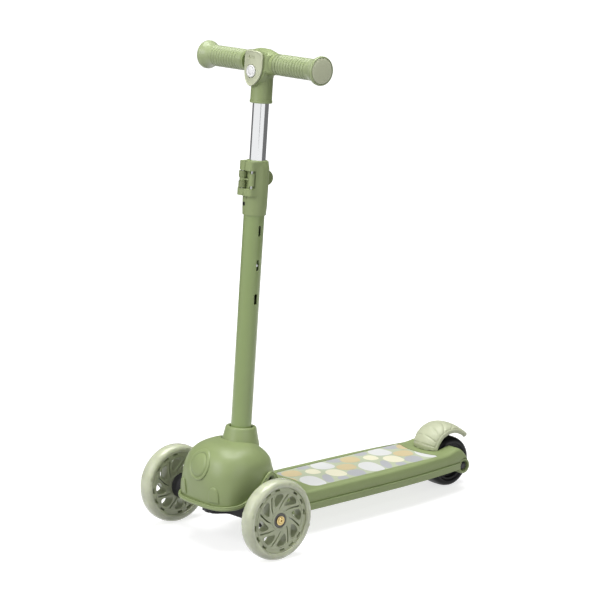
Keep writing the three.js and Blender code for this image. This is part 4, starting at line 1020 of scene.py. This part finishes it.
def badge():
    """The shield with its raised edge, recessed bar and seat, and the ringed button in the seat."""
    def ring(grow, height, share=1.0):
        return [(u * share, BADGE_MIDDLE + (v - BADGE_MIDDLE) * share, height) for u, v in shield(grow)]

    edge = [
        (-0.3, 0.0), (0, 0.4), (0, 2.6), (-0.25, 3.2), (-0.8, 3.55), (-1.5, 3.55), (-2.0, 3.3), (-2.3, 2.9),
        (-3.2, 2.75),
    ]
    rings = [ring(grow, height) for grow, height in edge]
    rings += [ring(*edge[-1], share) for share in (0.8, 0.6, 0.4, 0.2, 0.02)]
    seat = [[0.001, -28], [10.3, -28], [10.3, -20.7], [0.001, -20.7]]
    bar = round_rect(-7.5, 543.5, 7.5, 548.0, 1.6)
    cutters = [
        lathe("medal_seat", seat, axis="z", place=medal_place(0, 1)),
        skin("bar", [[on_badge((u, v, h)) for u, v in bar] for h in (1.2, 6)], Vector),
    ]
    shell = carve(skin("badge", rings, on_badge), cutters)
    adopt(shell, "badge", "pale", "t_bar", ["badge_plate"], sharp=35)
    button = [
        [0.001, 0], [9.2, 0], [9.2, 2.2], [8.7, 2.9], [7.6, 3.05], [7.0, 2.7], [6.6, 2.2], [6.0, 2.2],
        [5.5, 2.6], [4.4, 3.1], [2.2, 3.3], [0.001, 3.35],
    ]
    mesh = lathe("medal", button, axis="z", place=medal_place(-20.8, -1), fillet=0.2)
    adopt(mesh, "badge_button", "white", "t_bar", ["badge_medallion"], sharp=40)


badge()

# ---------------------------------------------------------------- small hardware that keeps its CAD shape
KEPT = {
    "steel": ["deck_screw_1", "deck_screw_2", "deck_screw_3", "deck_screw_4", "kingpin_bolt", "post_bolt",
              "lever_pivot_pin", "trunnion_pin", "brake_hinge_pin", "brake_spring", "front_left_spacer",
              "front_right_spacer", "rear_spacer", "button_spring", "handle_tube", "snap_button"],
    "rubber": ["upper_bush"],
    "black": ["guide_bush", "clamp_set_screw"],
    "black_steel": ["rear_axle_bolt"],
    "sage": ["clamp_eye_bolt"],
}
for _material, _names in KEPT.items():
    for _name in _names:
        _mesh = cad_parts[_name].data
        _mesh.materials.clear()
        _mesh.materials.append(MAT[_material])
        bevelled(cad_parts[_name], 0.2, 2, 45)


# ---------------------------------------------------------------- studio
def glowing(name, colour, glow):
    """Paper that is lit from behind, as on a translucent shooting table."""
    m = principled(name, colour, 0.9, vary=0.005, bump=0.0)
    s = m.node_tree.nodes["Principled BSDF"]
    s.inputs["Specular IOR Level"].default_value = 0.0
    s.inputs["Emission Color"].default_value = (1, 1, 1, 1)
    s.inputs["Emission Strength"].default_value = glow
    return m


def sheet(name, corners, faces, material):
    """A studio sheet in metres, which isn't part of the scooter."""
    mesh = bpy.data.meshes.new(name)
    mesh.from_pydata(corners, [], faces)
    mesh.materials.append(material)
    paper = bpy.data.objects.new(name, mesh)
    bpy.context.scene.collection.objects.link(paper)
    return paper


def lamp(name, place, width, height, power, target=(0, 0, 0.3)):
    """An area lamp in metres and watts that faces the scooter."""
    light = bpy.data.lights.new(name, "AREA")
    light.shape = "RECTANGLE"
    light.size = width
    light.size_y = height
    light.energy = power
    holder = bpy.data.objects.new(name, light)
    holder.location = place
    holder.rotation_euler = (Vector(target) - Vector(place)).to_track_quat("-Z", "Y").to_euler()
    bpy.context.scene.collection.objects.link(holder)


TABLE_GLOW = 0.70
CARD_BLACK = (0.02, 0.02, 0.02)
BACKDROP_R, CARD_R = 8.4, 1.6


def studio():
    table = glowing("table_paper", (0.5, 0.5, 0.5), TABLE_GLOW)
    corners = [(-9, -9, 0), (9, -9, 0), (9, 9, 0), (-9, 9, 0)]
    floor = sheet("floor", corners, [(0, 1, 2, 3)], table)
    floor.visible_diffuse = False
    brighter_outward(table)
    wall = ring_wall("backdrop", BACKDROP_R, 0, 360, (0, 7), glowing("backdrop_paper", CARD_BLACK, 1.0))
    wall.visible_diffuse = False
    wall.visible_glossy = False
    world = bpy.data.worlds.new("studio")
    bpy.context.scene.world = world
    world.use_nodes = True
    world.node_tree.nodes["Background"].inputs["Color"].default_value = (1, 1, 1, 1)
    world.node_tree.nodes["Background"].inputs["Strength"].default_value = 0.33
    lamp("top", (-0.1, 0.1, 3.0), 2.0, 2.0, 78)
    lamp("key", (-0.2, -2.7, 1.75), 1.0, 1.6, 47)
    lamp("side", (2.5, -0.5, 1.3), 0.7, 1.6, 17)
    reflector("left_card", -141, -44, 0.95)
    reflector("right_card", -36, 18, 0.95)
    reflector("dim_card", 18, 219, 0.16)


def brighter_outward(paper):
    """The table's glow rises from the middle outward, so that it meets the backdrop at full white."""
    t = paper.node_tree
    place = t.nodes.new("ShaderNodeTexCoord")
    reach = t.nodes.new("ShaderNodeVectorMath")
    reach.operation = "LENGTH"
    t.links.new(place.outputs["Object"], reach.inputs[0])
    glow = node(t, "ShaderNodeMapRange", From_Min=0.9, From_Max=2.2, To_Min=TABLE_GLOW, To_Max=1.0)
    t.links.new(reach.outputs["Value"], glow.inputs["Value"])
    t.links.new(glow.outputs["Result"], t.nodes["Principled BSDF"].inputs["Emission Strength"])


def ring_wall(name, radius, start, end, heights, material):
    """An upright curved sheet round the table, from one compass angle to another."""
    steps = 48
    turns = [math.radians(start + (end - start) * k / steps) for k in range(steps + 1)]
    corners = [(radius * math.cos(a), radius * math.sin(a), z) for a in turns for z in heights]
    faces = [(2 * k, 2 * k + 2, 2 * k + 3, 2 * k + 1) for k in range(steps)]
    return sheet(name, corners, faces, material)


def reflector(name, start, end, glow):
    """A curved card round the table that shows only as a reflection in the bright metal and gloss."""
    card = ring_wall(name, CARD_R, start, end, (0.02, 2.4), glowing(name, CARD_BLACK, glow))
    card.visible_camera = False
    card.visible_diffuse = False
    card.visible_shadow = False


def camera():
    """A long lens that looks down a little from the rider's front left."""
    data = bpy.data.cameras.new("camera")
    data.lens = 149.9
    data.sensor_width = 36
    data.clip_end = 30
    cam = bpy.data.objects.new("camera", data)
    cam.location = at((2792.0, -2202.5, 1152.9))
    azimuth, elevation = math.radians(49.92), math.radians(12.51)
    level = math.cos(elevation)
    look = Vector((-math.sin(azimuth) * level, math.cos(azimuth) * level, -math.sin(elevation)))
    cam.rotation_euler = look.to_track_quat("-Z", "Y").to_euler()
    bpy.context.scene.collection.objects.link(cam)
    bpy.context.scene.camera = cam


studio()
camera()
bpy.context.scene.view_settings.view_transform = "Standard"
bpy.context.scene.view_settings.look = "None"
bpy.context.scene.view_settings.exposure = 0.0
